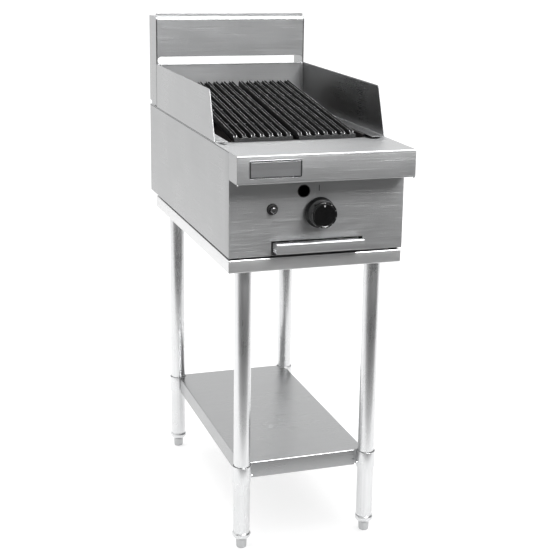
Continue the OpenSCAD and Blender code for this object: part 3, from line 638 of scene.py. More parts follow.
class CHARGRILL_OT_undershelf(bpy.types.Operator):
    """Fold the undershelf, notched round the legs, and turn its four sleeves with their welded wings"""

    bl_idname = "chargrill.undershelf"
    bl_label = "Undershelf and Sleeves"

    def execute(self, context):
        sizes = context.scene.chargrill_sizes
        lo, hi = box("undershelf")
        sleeve_lo, sleeve_hi = box("shelf_brackets")
        thick, inset, notch, gap = 1.2, sizes.fold_radius + 0.4, 21.75, 26.5
        shelf, sleeves, outline = Stock(), Stock(), []
        # The top's outline goes round the four legs in turn, an arc of the notch's radius at each corner.
        for where, sx, sy, turn in (("front_left", 1, 1, 1), ("front_right", -1, 1, -1),
                                    ("rear_right", -1, -1, 1), ("rear_left", 1, -1, -1)):
            (x, y), r = leg_line(where)
            edge_y = (lo[1] + inset if sy > 0 else hi[1] - inset) - y
            edge_x = (lo[0] + inset if sx > 0 else hi[0] - inset) - x
            ends = (math.atan2(sy * math.sqrt(notch ** 2 - edge_x ** 2), edge_x),
                    math.atan2(edge_y, sx * math.sqrt(notch ** 2 - edge_y ** 2)))
            a = np.unwrap(np.array(ends))
            a = np.linspace(*(a if turn > 0 else a[::-1]), 15)
            outline.append(np.stack([x + notch * np.cos(a), y + notch * np.sin(a)], 1))
            rim, _ = bent_line([(r + 0.1, sleeve_lo[2]), (r + 2.4, sleeve_lo[2]), (r + 2.4, sleeve_hi[2]),
                                (r + 1.7, sleeve_hi[2]), (r + 1.3, sleeve_hi[2] - 3.5), (r + 0.1, sleeve_hi[2] - 5)],
                               [0, 0.5, 0.6, 0.2, 0.8, 0], 4)
            sleeves.add(turned(rim, (x, y, 0), steps=80, closed=True))
            wing_y = lo[1] + 1.4 if sy > 0 else hi[1] - 3.2
            along, across, back = sorted((15 * sx, 55 * sx)), sorted((1.4 * sx, 3.2 * sx)), sorted((21 * sy, 61 * sy))
            wing_low, wing_high = hi[2] - 34, hi[2] - 2
            sleeves.add(block((x + along[0], wing_y, wing_low), (x + along[1], wing_y + 1.8, wing_high)), 1)
            sleeves.add(block((x + across[0], y + back[0], wing_low), (x + across[1], y + back[1], wing_high)), 1)
        shelf.add(pierced(np.vstack(outline), [], thick, (0, 0, hi[2]), (1, 0, 0), (0, 1, 0), (0, 0, -1)))
        fold = bent_sheet([(inset, hi[2]), (0, hi[2]), (0, lo[2])], thick, sizes.fold_radius, 1)
        (x0, y0), _ = leg_line("front_left")
        (x1, y1), _ = leg_line("rear_right")
        front = math.sqrt(gap ** 2 - (lo[1] - y0) ** 2)
        rear = math.sqrt(gap ** 2 - (hi[1] - y1) ** 2)
        for start, end, across in (((x0 + front, lo[1], 0), (x1 - front, lo[1], 0), (0, 1, 0)),
                                   ((x0 + rear, hi[1], 0), (x1 - rear, hi[1], 0), (0, -1, 0)),
                                   ((lo[0], y0 + gap, 0), (lo[0], y1 - gap, 0), (1, 0, 0)),
                                   ((hi[0], y0 + gap, 0), (hi[0], y1 - gap, 0), (-1, 0, 0))):
            shelf.add(carried(fold, start, end, across))
        shelf.piece("folded_undershelf", [finish("shelf_sheet")], "undershelf")
        sleeves.piece("leg_sleeves", [finish("stainless_polished"), finish("casing_along")], "shelf_brackets")
        return {"FINISHED"}


# ---- casing ----


def easing(t):
    """Smooth step: 0 below 0, 1 above 1, and t * t * (3 - 2 t) between."""
    t = np.clip(t, 0, 1)
    return t * t * (3 - 2 * t)


class CHARGRILL_OT_side_panels(bpy.types.Operator):
    """Bend the two side panels: a front return, a rounded corner and a long face that wanders slightly from flat"""

    bl_idname = "chargrill.side_panels"
    bl_label = "Side Panels"

    def execute(self, context):
        sizes = context.scene.chargrill_sizes
        for side in (-1, 1):
            node = "side_panel_" + HAND[side]
            lo, hi = box(node)
            outer = 200.0
            line, _ = bent_line([(outer - 18, lo[1]), (outer, lo[1]), (outer, hi[1])], 1.6, 5)
            run = np.linspace(0, 1, 25)[1:, None]
            line = np.vstack([line[:-1], line[-2] + run * (line[-1] - line[-2])])
            z = np.concatenate([[lo[2], lo[2] + 22], np.linspace(lo[2] + 30, hi[2] - 1.2, 12), [hi[2]]])
            along = np.clip((line[:, 1:] - lo[1]) / (hi[1] - lo[1]), 0, 1)
            height = (z[None, :] - lo[2]) / (hi[2] - lo[2])
            # Inward dent: the wave times a half sine up the sheet, a flattened half sine along it, and a slow ripple.
            dent = sizes.sheet_wave * np.sin(math.pi * height) * np.sin(math.pi * along) ** 0.7 * (
                0.6 + 0.4 * np.sin(9 * along + 2.5 * height))
            points = spread(side * (line[:, :1] - dent), line[:, 1:], z[None, :])
            cells = web(len(line), len(z)).reshape(len(line) - 1, len(z) - 1, 4)
            keep = np.ones(cells.shape[:2], bool)
            keep[:1, :1] = False
            # The top row of cells, the last 1.2 mm below the hob, takes the dark seam finish: a painted shadow line
            # where the panel meets the hob.
            top = np.broadcast_to(np.arange(len(z) - 1) == len(z) - 2, keep.shape)
            cells = cells[:, :, ::-side]
            Stock().add((points, [cells[keep & ~top], cells[keep & top]]), [0, 1]).piece(
                "side_sheet_" + HAND[side], [finish("casing_back"), finish("seam_shadow"), finish("casing_back")], node,
                thick=1.2, edge=sizes.edge_soft)
        return {"FINISHED"}


class CHARGRILL_OT_control_panel(bpy.types.Operator):
    """Cut the control panel with its holes and tray opening, and ink the index line over the knob"""

    bl_idname = "chargrill.control_panel"
    bl_label = "Control Panel"

    def execute(self, context):
        lo, hi = box("control_panel")
        half, top = box("drip_tray")[1][0] + 5, lo[2] + 31.5
        outline = [(lo[0], lo[2]), (-half, lo[2]), (-half, top), (half, top), (half, lo[2]), (hi[0], lo[2]),
                   (hi[0], hi[2]), (lo[0], hi[2])]
        igniter = sum(box("igniter_button")) / 2
        stem = sum(box("valve_stem")) / 2
        sight = (-33.0, lo[2] + 139.3)
        Stock().add(pierced(outline, [circle(igniter[0], igniter[2], 9.2), circle(stem[0], stem[2], 9),
                                      circle(*sight, 13, 56)],
                            hi[1] - lo[1], (0, lo[1], 0), *UPRIGHT, (0, 1, 0))).piece(
            "panel_sheet", [finish("casing_along")], "control_panel", edge=0.3)
        # A dark ring lining the sight hole, in the index ink: painted shade of the hole.
        collar, _ = bent_line([(13.0, 1.3), (13.0, -0.5), (14.0, -0.5), (14.4, 0.0), (13.0, 1.3)],
                              [0, 0.3, 0.3, 0.1, 0], 3)
        Stock().add(turned(collar[:-1], (sight[0], lo[1], sight[1]), "y", 64, True)).piece(
            "sight_hole_rim", [finish("index_mark")], body="chassis", slot="igniter_black")
        Stock().add(block((stem[0] - 0.8, lo[1] - 0.06, hi[2] - 91.2), (stem[0] + 0.8, lo[1], hi[2] - 78.2))).piece(
            "index_line", [finish("index_mark")], body="chassis", slot="igniter_black")
        return {"FINISHED"}


class CHARGRILL_OT_hob(bpy.types.Operator):
    """Fold the hob: a square nose, a ledge pressed down to the opening, side and rear strips, welded cheeks"""

    bl_idname = "chargrill.hob"
    bl_label = "Hob"

    def execute(self, context):
        sizes = context.scene.chargrill_sizes
        lo, hi = box("hob")
        panel = box("control_panel")[0][1]
        fire_lo, fire_hi = box("firebox")
        top = hi[2]
        under = box("nameplate")[0][2] - 11
        opening, open0, open1, dip0, drop = 169.0, fire_lo[1] - 1, fire_hi[1] - 2, lo[1] + 120, 8.0
        nose, _ = bent_line([(panel, under), (lo[1], under), (lo[1], top), (lo[1] + 6, top)], sizes.fold_radius, 6)
        depth = np.concatenate([np.linspace(lo[1] + 8, dip0 - 4, 6), np.linspace(dip0, open0 - 1.5, 12), [open0],
                                np.linspace(open0 + 4, open0 + 14, 4), np.linspace(open0 + 40, open1 - 30, 10),
                                [open1], np.linspace(open1 + 6, hi[1], 5)])
        y = np.concatenate([nose[:, 0], depth])
        z = np.concatenate([nose[:, 1], np.full(len(depth), top)])
        edge = np.concatenate([np.linspace(opening, 198, 14), [hi[0]]])
        x = np.concatenate([-edge[::-1], np.linspace(-150, 150, 17), edge])
        yy, xx = np.meshgrid(y, x, indexing="ij")
        # The ledge falls in a straight slope from dip0 to the opening, eased at both ends and towards the side strips.
        press = np.clip((yy - dip0) / (open0 - dip0), 0, 1) * easing((yy - dip0) / 20) * (1 - easing((yy - open0) / 12))
        press *= 1 - easing((np.abs(xx) - 180) / 17)
        zz = z[:, None] - drop * press * (yy < open1)
        # A tenth of a millimetre of slow sine ripple, only downwards, starts behind the nose.
        wander = 0.10 * np.sin(xx / 47.0) * np.sin((yy - lo[1]) / 31.0) * easing((yy - lo[1] - 10) / 30)
        zz = zz - np.abs(wander) * (zz > top - 20)
        cells = web(len(y), len(x)).reshape(len(y) - 1, len(x) - 1, 4)
        row, column = (y[:-1] + y[1:]) / 2, (x[:-1] + x[1:]) / 2
        open_rows = (row > open0) & (row < open1) & (np.arange(len(row)) >= len(nose))
        gone = open_rows[:, None] & (np.abs(column) < opening)
        ledge = np.broadcast_to((row > lo[1] + 7)[:, None], gone.shape)
        Stock().add((spread(xx, yy, zz), [cells[~gone & ~ledge], cells[~gone & ledge]]), [0, 1]).piece(
            "hob_sheet", [finish("casing_along"), finish("ledge_sheet")], "hob", thick=1.5,
            edge=sizes.edge_soft, sharp=40)
        lips = Stock().add(block((-opening, open0 - 1.5, top - drop - 14), (opening, open0, top - drop - 1.6)))
        for side in (-1, 1):
            inner, outer = sorted((side * (hi[0] - 1.5), side * hi[0]))
            lips.add(block((inner, lo[1] + 1.6, under + 1.6), (outer, panel, top - 1.6)))
            bead, _ = bent_line([(0, -2.4), (1.5, -2.0), (2.0, 1.2), (0, 1.2)], [0, 1.2, 0.2, 0], 4)
            lips.add(turned(bead, (side * (hi[0] - 2.6), lo[1] + 2.1, under), steps=20), 1)
        lips.add(block((lo[0] + 8, hi[1] - 5.4, top - 22), (hi[0] - 8, hi[1] - 4.2, top - 1.6)))
        lips.piece("hob_lips", [finish("casing_back"), finish("trim_bright")], body="chassis",
                   slot="stainless_casing", edge=0.25)
        return {"FINISHED"}


class CHARGRILL_OT_nameplate(bpy.types.Operator):
    """Press the blank nameplate: a thin bright edge, a dark rim inside it and a bright field"""

    bl_idname = "chargrill.nameplate"
    bl_label = "Blank Nameplate"

    def execute(self, context):
        lo, hi = box("nameplate")
        middle, half = (lo + hi) / 2, (hi - lo) / 2
        out = ((1, 0, 0), (0, 0, 1), (0, -1, 0))
        place = (middle[0], hi[1], middle[2])
        face = (half[0], half[2])
        rim_in, field_in, corner = 1.3, 3.9, 4.4
        light, _ = bent_line([(0, 0.0), (0, 0.8), (1.1, 0.8), (rim_in, 0.0)], [0, 0.35, 0.15, 0], 3)
        dark, _ = bent_line([(rim_in, 0.02), (rim_in, 0.62), (field_in, 0.62), (field_in, 0.02)], [0, 0.1, 0.1, 0], 3)
        field, _ = bent_line([(3.92, 0.0), (3.92, 0.75), (5.8, 0.7)], [0, 0.25, 0], 4)
        Stock().add(carried_round(light, place, face, corner, out, ring=True)).add(
            carried_round(dark, place, face, corner, out, ring=True), 1).add(
            carried_round(field, place, face, corner, out)).piece(
            "blank_plate", [finish("nameplate_metal"), finish("nameplate_rim")], "nameplate", sharp=50)
        return {"FINISHED"}


# ---- guards and splashback ----


class CHARGRILL_OT_side_guards(bpy.types.Operator):
    """Bend the side guards: a raked, rounded front edge with a folded hem, a flange on the hob and one at the rear"""

    bl_idname = "chargrill.side_guards"
    bl_label = "Side Guards"

    def execute(self, context):
        sizes = context.scene.chargrill_sizes
        for side in (-1, 1):
            node = "side_guard_" + HAND[side]
            lo, hi = box(node)
            rake, r, outer, within = 43.0, 12.0, 200.0, 198.8
            lean = math.atan2(rake, hi[2] - lo[2])
            arc_y = lo[1] + rake + r * math.tan(math.pi / 4 - lean / 2)
            arc_z = hi[2] - r

            def front(z):
                """Front edge: a leaning line, then an arc of radius r up to the top."""
                line = lo[1] + rake * (z - lo[2]) / (hi[2] - lo[2])
                arc = arc_y - np.sqrt(np.clip(r * r - (z - arc_z) ** 2, 0, None))
                return np.where(z > arc_z + r * math.sin(lean), arc, line)

            section, _ = bent_line([(outer, hi[2]), (outer, lo[2]), (outer - 31, lo[2])], sizes.fold_radius, 5)
            swing = np.linspace(0, math.pi / 2 - lean, 9)[:, None]
            rounding = np.hstack([np.full_like(swing, outer), arc_z + r * np.cos(swing)])
            plate = np.stack([np.full(9, outer), np.linspace(arc_z, lo[2] + 6, 9)], 1)
            section = np.vstack([rounding, plate, section[1:-1], np.linspace(section[-2], section[-1], 5)[1:]])
            share = np.append(np.linspace(0, 0.9965, 21), 1.0)[None, :]
            start = front(section[:, 1:])
            y = start + share * (hi[1] - start)
            # The plate bows by half the wave: a half sine from front to rear, turned by a sine up the sheet.
            bow = 0.5 * sizes.sheet_wave * np.sin(math.pi * share) * (section[:, :1] > outer - 0.1)
            x = side * (section[:, :1] - bow * np.sin((section[:, 1:] - lo[2]) / 40))
            # The last column of cells, the rear 1.5 mm of the guard, takes the dark seam finish: painted shade where
            # the guard meets the splashback's side.
            cells = web(len(section), 22)[:, ::-side].reshape(len(section) - 1, 21, 4)
            Stock().add((spread(x, y, section[:, 1:]), [cells[:, :-1].reshape(-1, 4), cells[:, -1]]), [0, 1]).piece(
                "guard_sheet_" + HAND[side], [finish("guard_sheet"), finish("seam_shadow"), finish("cut_edge")], node,
                thick=1.2, edge=sizes.edge_soft)
            z = np.concatenate([np.linspace(lo[2] + 3, arc_z + r * math.sin(lean), 12),
                                arc_z + r * np.cos(swing[::-1, 0])[1:]])
            edge = np.stack([front(z), z], 1)
            edge = np.vstack([edge, [(hi[1] - 4, hi[2])]])
            path = np.gradient(edge, axis=0)
            path /= np.linalg.norm(path, axis=1)[:, None]
            inward = np.stack([path[:, 1], -path[:, 0]], 1)
            hem = np.array([(0.05, 0), (0.1, 0.4), (0.4, 0.8), (2.6, 0.8), (2.9, 0.5), (2.9, 0)])
            rows = edge[:, None, :] + hem[None, :, :1] * inward[:, None, :]
            hem_points = spread(side * (within - hem[None, :, 1]), rows[:, :, 0], np.minimum(rows[:, :, 1], hi[2]))
            hems = Stock().add((hem_points, capped(len(edge), len(hem))))
            flange = sorted((side * (within - 6), side * within))
            hems.add(block((flange[0], hi[1] - 1.2, lo[2] + 1.3), (flange[1], hi[1], hi[2] - 4)))
            hems.piece("guard_hem_" + HAND[side], [finish("cut_edge")], body="chassis",
                       slot="stainless_casing", edge=0.2)
        return {"FINISHED"}


class CHARGRILL_OT_splashback(bpy.types.Operator):
    """Bend the rear guard, the slotted splashback with its slanted top fold, its returns, cover and lip"""

    bl_idname = "chargrill.splashback"
    bl_label = "Rear Guard and Splashback"

    def execute(self, context):
        lo, hi = box("rear_guard")
        rail = bent_sheet([(hi[1], lo[2]), (hi[1], hi[2]), (lo[1], hi[2])], 1.2, 1.6, 1)
        Stock().add(along_x(rail, lo[0], hi[0])).piece(
            "rear_guard_sheet", [finish("rear_sheet")], "rear_guard", edge=0.2)
        face_lo, face_hi = box("splashback")
        guard_top = box("side_guard_left")[1][2]
        front, shoulder, thick, seam = face_lo[1], face_hi[2] - 5, 1.2, 1.7
        slot_r, slot_z = 9.75, guard_top - 1 + 9.75
        a = np.linspace(-math.pi / 2, math.pi / 2, 17)
        inner = face_hi[0] - thick - seam
        reach = inner - 0.8 - slot_r
        slot = np.vstack([np.stack([reach + slot_r * np.cos(a), slot_z + slot_r * np.sin(a)], 1),
                          np.stack([-reach - slot_r * np.cos(a), slot_z - slot_r * np.sin(a)], 1)])
        face_bottom, face_top = guard_top - 16, shoulder - 3.05
        back = Stock().add(pierced([(-inner, face_bottom), (inner, face_bottom), (inner, face_top), (-inner, face_top)],
                                   [slot], thick, (0, front, 0), *UPRIGHT, (0, 1, 0)))
        fold = bent_sheet([(front, shoulder - 3), (front, shoulder), (front + 5, shoulder + 5)], thick, 1.8, -1)
        back.add(along_x(fold, -inner, inner), 1)
        cheek = [(front, face_lo[2]), (face_hi[1], face_lo[2] + 9), (face_hi[1], shoulder + 5),
                 (front + 5, shoulder + 5), (front, shoulder)]
        for side in (-1, 1):
            # A thin dark strip behind the gap between each side edge of the face and its return: painted shadow in that
            # gap.
            strip = sorted((side * (inner - 0.8), side * (inner + seam)))
            back.add(block((strip[0], front + 1.3, guard_top - 15), (strip[1], front + 1.9, shoulder + 0.5)), 3)
            back.add(pierced(cheek, [], thick, (side * face_hi[0], 0, 0), (0, 1, 0), (0, 0, 1), (-side, 0, 0)), 2)
        back.piece("splash_sheet", [finish("splash_sheet"), finish("trim_bright"), finish("guard_sheet"),
                                    finish("seam_shadow")], "splashback", edge=0.35)
        top_lo, top_hi = box("splash_top")
        lid, lip_y = shoulder + 4.9, front + 8
        cover = Stock().add(block((top_lo[0], top_lo[1], shoulder + 3.6), (top_hi[0], top_hi[1], shoulder + 4.8)))
        lip = bent_sheet([(front + 16, lid), (lip_y, lid), (lip_y, top_hi[2])], 1.2, 1.8, -1)
        cover.add(along_x(lip, top_lo[0] + 0.8, top_hi[0] - 0.8))
        cover.piece("splash_cover", [finish("casing_along")], "splash_top", edge=0.3)
        return {"FINISHED"}


# ---- grates ----


class CHARGRILL_OT_grates(bpy.types.Operator):
    """Cast the two grates: grooved, drafted ribs on front toes, scalloped end bars and cross bars, sloping forward"""

    bl_idname = "chargrill.grates"
    bl_label = "Grates"

    def execute(self, context):
        sizes = context.scene.chargrill_sizes
        tilt, length, pitch, count, start = math.radians(7.4), 498.0, 20.9, 7, 12.0
        deep, half_foot, groove = 16.0, 5.4, sizes.rib_groove
        for side in (-1, 1):
            node = "grate_" + HAND[side]
            lo, _ = box(node)
            origin_y = lo[1] - 4 * math.sin(tilt)
            origin_z = lo[2] + deep * math.cos(tilt) - start * math.sin(tilt)
            first = lo[0] + 5.5
            cast = Stock()
            # Half of a rib's section from the groove's floor, over the worn edge that also carries a painted highlight,
            # down its drafted side to its foot.
            half = np.array([(0, -groove), (1.7, -0.9 * groove), (3.2, -0.9), (3.5, -0.15), (3.9, 0), (4.25, -0.2),
                             (4.45, -1), (4.6, -3.5), (half_foot, -15.4), (4.9, -deep), (0, -deep)])
            section = np.vstack([half, (half[1:-1] * [-1, 1])[::-1]])
            y = np.concatenate([[start, start + 0.5, start + 4.5], np.linspace(start + 9, length - 6, 40),
                                [length - 1.5, length - 0.5, length]])
            pull = np.interp(y, [start, start + 1, length - 1.5, length], [0.9, 1, 1, 0.88])
            nose = np.interp(y, [start, start + 0.5, start + 4.5], [5.5, 4.8, 0])
            for k in range(count):
                x = first + k * pitch
                # Each rib sways sideways and sinks along its length in slow sines, each in its own phase.
                sway = 0.16 * np.sin(y / 53 + 2.1 * k + side) + 0.05 * np.sin(y / 11 + 1.3 * k)
                sink = 0.10 + 0.10 * np.sin(y / 29 + 1.7 * k)
                px = x + sway[:, None] + section[None, :, 0] * pull[:, None]
                pz = np.maximum(section[None, :, 1] - sink[:, None] * (section[None, :, 1] > -8), -deep)
                pz = np.minimum(pz, -nose[:, None])
                n, m = px.shape
                sides, *ends = capped(n, m)
                sides = sides.reshape(n - 1, m, 4)
                # The faces along the rib's top edges and round its front tip take the worn finish: partly real wear,
                # partly a painted highlight along the edges and a painted glint at each front end.
                edge_wear_and_highlight_faces = np.isin(np.arange(m), [3, 4, m - 5, m - 4])[None, :]
                tip_wear_and_glint_faces = (np.isin(np.arange(m), [2, 3, 4, 5, m - 6, m - 5, m - 4, m - 3])[None, :]
                             & (y[:-1, None] < start + 4))
                worn = np.broadcast_to(edge_wear_and_highlight_faces | tip_wear_and_glint_faces, (n - 1, m))
                cast.add((spread(px, y[:, None], pz), [sides[~worn], sides[worn], *ends]), [0, 1, 0, 0])
                cast.add(block((x - half_foot, 0.05, -12.9), (x + half_foot, start + 0.95, -8.05)))
            span = (count - 1) * pitch
            x = np.linspace(first - 5.5, first + span + 5.5, 22 * count)
            # An end bar's top dips in a circle of radius 6.5 half way between two ribs.
            near = np.abs((x - first) % pitch - pitch / 2)
            scallop = np.sqrt(np.clip(6.5 ** 2 - near ** 2, 0, None)) * ((x > first) & (x < first + span))
            crest = -np.maximum(4.0, scallop)
            bar = np.vstack([np.stack([x, crest], 1), [(x[-1], -13), (x[0], -13)]])
            for y0 in (0.0, length - 7):
                cast.add(carried(bar, (0, y0, 0), (0, y0 + 7, 0), (1, 0, 0)))
            for k in (1, 2, 3):
                y0 = k * length / 4
                cross = [(y0 - 4, -deep), (y0 + 4, -deep), (y0 + 3.2, -7.6), (y0 + 2.4, -7), (y0 - 2.4, -7),
                         (y0 - 3.2, -7.6)]
                cast.add(along_x(cross, first, first + span))
            # The whole casting is turned about X by the tilt and moved to its place.
            flat = np.vstack(cast.points)
            turned_y = flat[:, 1] * math.cos(tilt) - flat[:, 2] * math.sin(tilt) + origin_y
            turned_z = flat[:, 1] * math.sin(tilt) + flat[:, 2] * math.cos(tilt) + origin_z
            cast.points = [np.stack([flat[:, 0], turned_y, turned_z], 1)]
            cast.piece("cast_" + node, [finish("grate_iron"), finish("worn_and_highlit_iron")], node, sharp=45)
        return {"FINISHED"}


# ---- controls ----


class CHARGRILL_OT_knob(bpy.types.Operator):
    """Mould the knob: a flared skirt, a fluted grip and a dished face with a pointer and dots round it"""

    bl_idname = "chargrill.knob"
    bl_label = "Knob"

    def execute(self, context):
        sizes = context.scene.chargrill_sizes
        lo, hi = box("knob")
        x, z = (lo[0] + hi[0]) / 2, (lo[2] + hi[2]) / 2
        r, out = (hi[0] - lo[0]) / 2, hi[1] - lo[1]
        profile, _ = bent_line([(4.0, 0), (r - 1.2, 0), (r, 1.4), (r, 5), (r - 2, 9), (r - 4, 13), (r - 4.6, out - 3),
                                (r - 6.4, out), (r - 8.6, out - 0.1), (r - 9.6, out - 0.9), (0, out - 1.3)],
                               [0, 0.5, 0.9, 1.6, 3, 2.2, 1.6, 0.9, 0.5, 0.6, 0], 5)
        bore = np.array([(0.0, out - 9.3), (4.0, out - 9.3)])
        profile = np.vstack([bore, profile])
        heights = profile[:, 1:]
        grip = easing((heights - 13.5) / 2) * easing((out - 3.2 - heights) / 2) * (profile[:, :1] > r - 6)

        def flutes(angle):
            """Thirty shallow flutes: the radius falls by up to 1.2 % where the grip is."""
            return 1 - 0.012 * grip * (0.5 + 0.5 * np.cos(30 * angle)) ** 2

        Stock().add(turned(profile * [1, -1], (x, hi[1], z), "y", 180, wave=flutes)).piece(
            "control_knob", [finish("knob_black")], "knob", sharp=40)
        face = lo[1] + 1.1
        marks = Stock()
        tip, root = r - 10.5, r - 10.5 - sizes.pointer_length
        arrow = [(x - 1.1, z + root), (x + 1.1, z + root), (x + 1.1, z + tip - 3), (x + 2.6, z + tip - 3), (x, z + tip),
                 (x - 2.6, z + tip - 3), (x - 1.1, z + tip - 3)]
        marks.add(pierced(arrow, [], 0.5, (0, face - 0.15, 0), *UPRIGHT, (0, 1, 0)))
        for degrees in (0, 35, 70, 105, 140, 175):
            a = math.radians(90 - degrees)
            dot = circle(x + (r - 7.5) * math.cos(a), z + (r - 7.5) * math.sin(a), 0.75, 14)
            marks.add(pierced(dot, [], 0.5, (0, lo[1], 0), *UPRIGHT, (0, 1, 0)))
        marks.piece("knob_marks", [finish("knob_mark")], body="knob", slot="knob_black")
        return {"FINISHED"}


class CHARGRILL_OT_igniter(bpy.types.Operator):
    """Turn the igniter's domed bezel and its bright button"""

    bl_idname = "chargrill.igniter"
    bl_label = "Igniter"

    def execute(self, context):
        button_lo, button_hi = box("igniter_button")
        x, z = (button_lo[0] + button_hi[0]) / 2, (button_lo[2] + button_hi[2]) / 2
        panel = box("control_panel")[0][1]
        deep = box("igniter_body")[1][1] - panel
        bezel, _ = bent_line([(0, 24), (7.05, 24), (7.05, -4.6), (7.9, -5), (10.4, -4.4), (12.4, -1.6), (12.5, -0.05),
                              (9, -0.05), (9, deep), (0, deep)], [0, 0.3, 0.3, 0.2, 2.4, 1.6, 0.1, 0, 0.6, 0], 6)
        Stock().add(turned(bezel, (x, panel, z), "y", 72)).piece(
            "igniter_bezel", [finish("igniter_black")], "igniter_body", sharp=40)
        back = button_hi[1]
        dome, _ = bent_line([(0, back), (7, back), (7, button_lo[1] + 2.4), (5.2, button_lo[1] + 0.4),
                             (0, button_lo[1])], [0, 0.3, 1.4, 2.6, 0], 6)
        Stock().add(turned(dome, (x, 0, z), "y", 64)).piece(
            "push_button", [finish("button_chrome")], "igniter_button", sharp=40)
        return {"FINISHED"}


class CHARGRILL_OT_tray(bpy.types.Operator):
    """Fold the drip tray's walls, bent round at the bottom into a narrow inward lip, and the pull across its front"""

    bl_idname = "chargrill.tray"
    bl_label = "Drip Tray and Pull"

    def execute(self, context):
        lo, hi = box("drip_tray")
        middle, half = (lo + hi) / 2, (hi - lo) / 2
        pan = bent_sheet([(9, lo[2]), (0, lo[2]), (0, hi[2])], 1.2, 1.8, -1)
        Stock().add(carried_round(pan, (middle[0], middle[1], 0), half, 2.4)).piece(
            "tray_pan", [finish("aluminised_steel")], "drip_tray", edge=0.3)
        pull_lo, pull_hi = box("tray_pull")
        fold = bent_sheet([(pull_hi[1], pull_lo[2]), (pull_lo[1], pull_lo[2]), (pull_lo[1], pull_hi[2]),
                           (pull_lo[1] + 8, pull_hi[2])], 1.4, 2.0, -1)
        Stock().add(along_x(fold, pull_lo[0], pull_hi[0])).piece(
            "tray_handle", [finish("casing_along")], "tray_pull", edge=0.3)
        return {"FINISHED"}


# ---- stage ----


# The floor's own light; the dark card's fade along Y with its light at each end; the sky's light by direction.
FLOOR_GLOW = 0.62
CARD_FADE, CARD_NEAR, CARD_FAR = (-0.75, -2.0), 0.6, 0.09
SKY_BACK, SKY_FRONT, SKY_LOW = 1.12, 0.8, 0.05
# Turn, dip and roll in degrees, focal length in millimetres, shift in frame widths, place in metres.
CAMERA_TURNS, CAMERA_LENS = (19.536, 14.072, -1.140), 80.43
CAMERA_SHIFT, CAMERA_PLACE = (-0.0512, -0.0613), (-0.9017, -2.8387, 1.3831)
# Each lamp: its name, its place, what it looks at, its diameter in metres and its power in watts.
LAMPS = (("top_light", (0.0, 0.3, 4.2), (0, 0, 0.5), 4.0, 70),
         ("front_light", (1.3, -3.3, 3.95), (0, -0.3, 0.8), 2.7, 460),
         ("left_light", (-3.6, 0.6, 2.8), (0, 0, 0.6), 2.4, 20))
# Parts inside the firebox take a near-black steel instead of their own slots' finish: painted shade for the dark recess
# under the grates.
CARRIED_FINISH = dict.fromkeys(("firebox", "heat_shield", "grate_rest", "radiant_rails", "grease_chutes", "burner"),
                               "shaded_interior_steel")


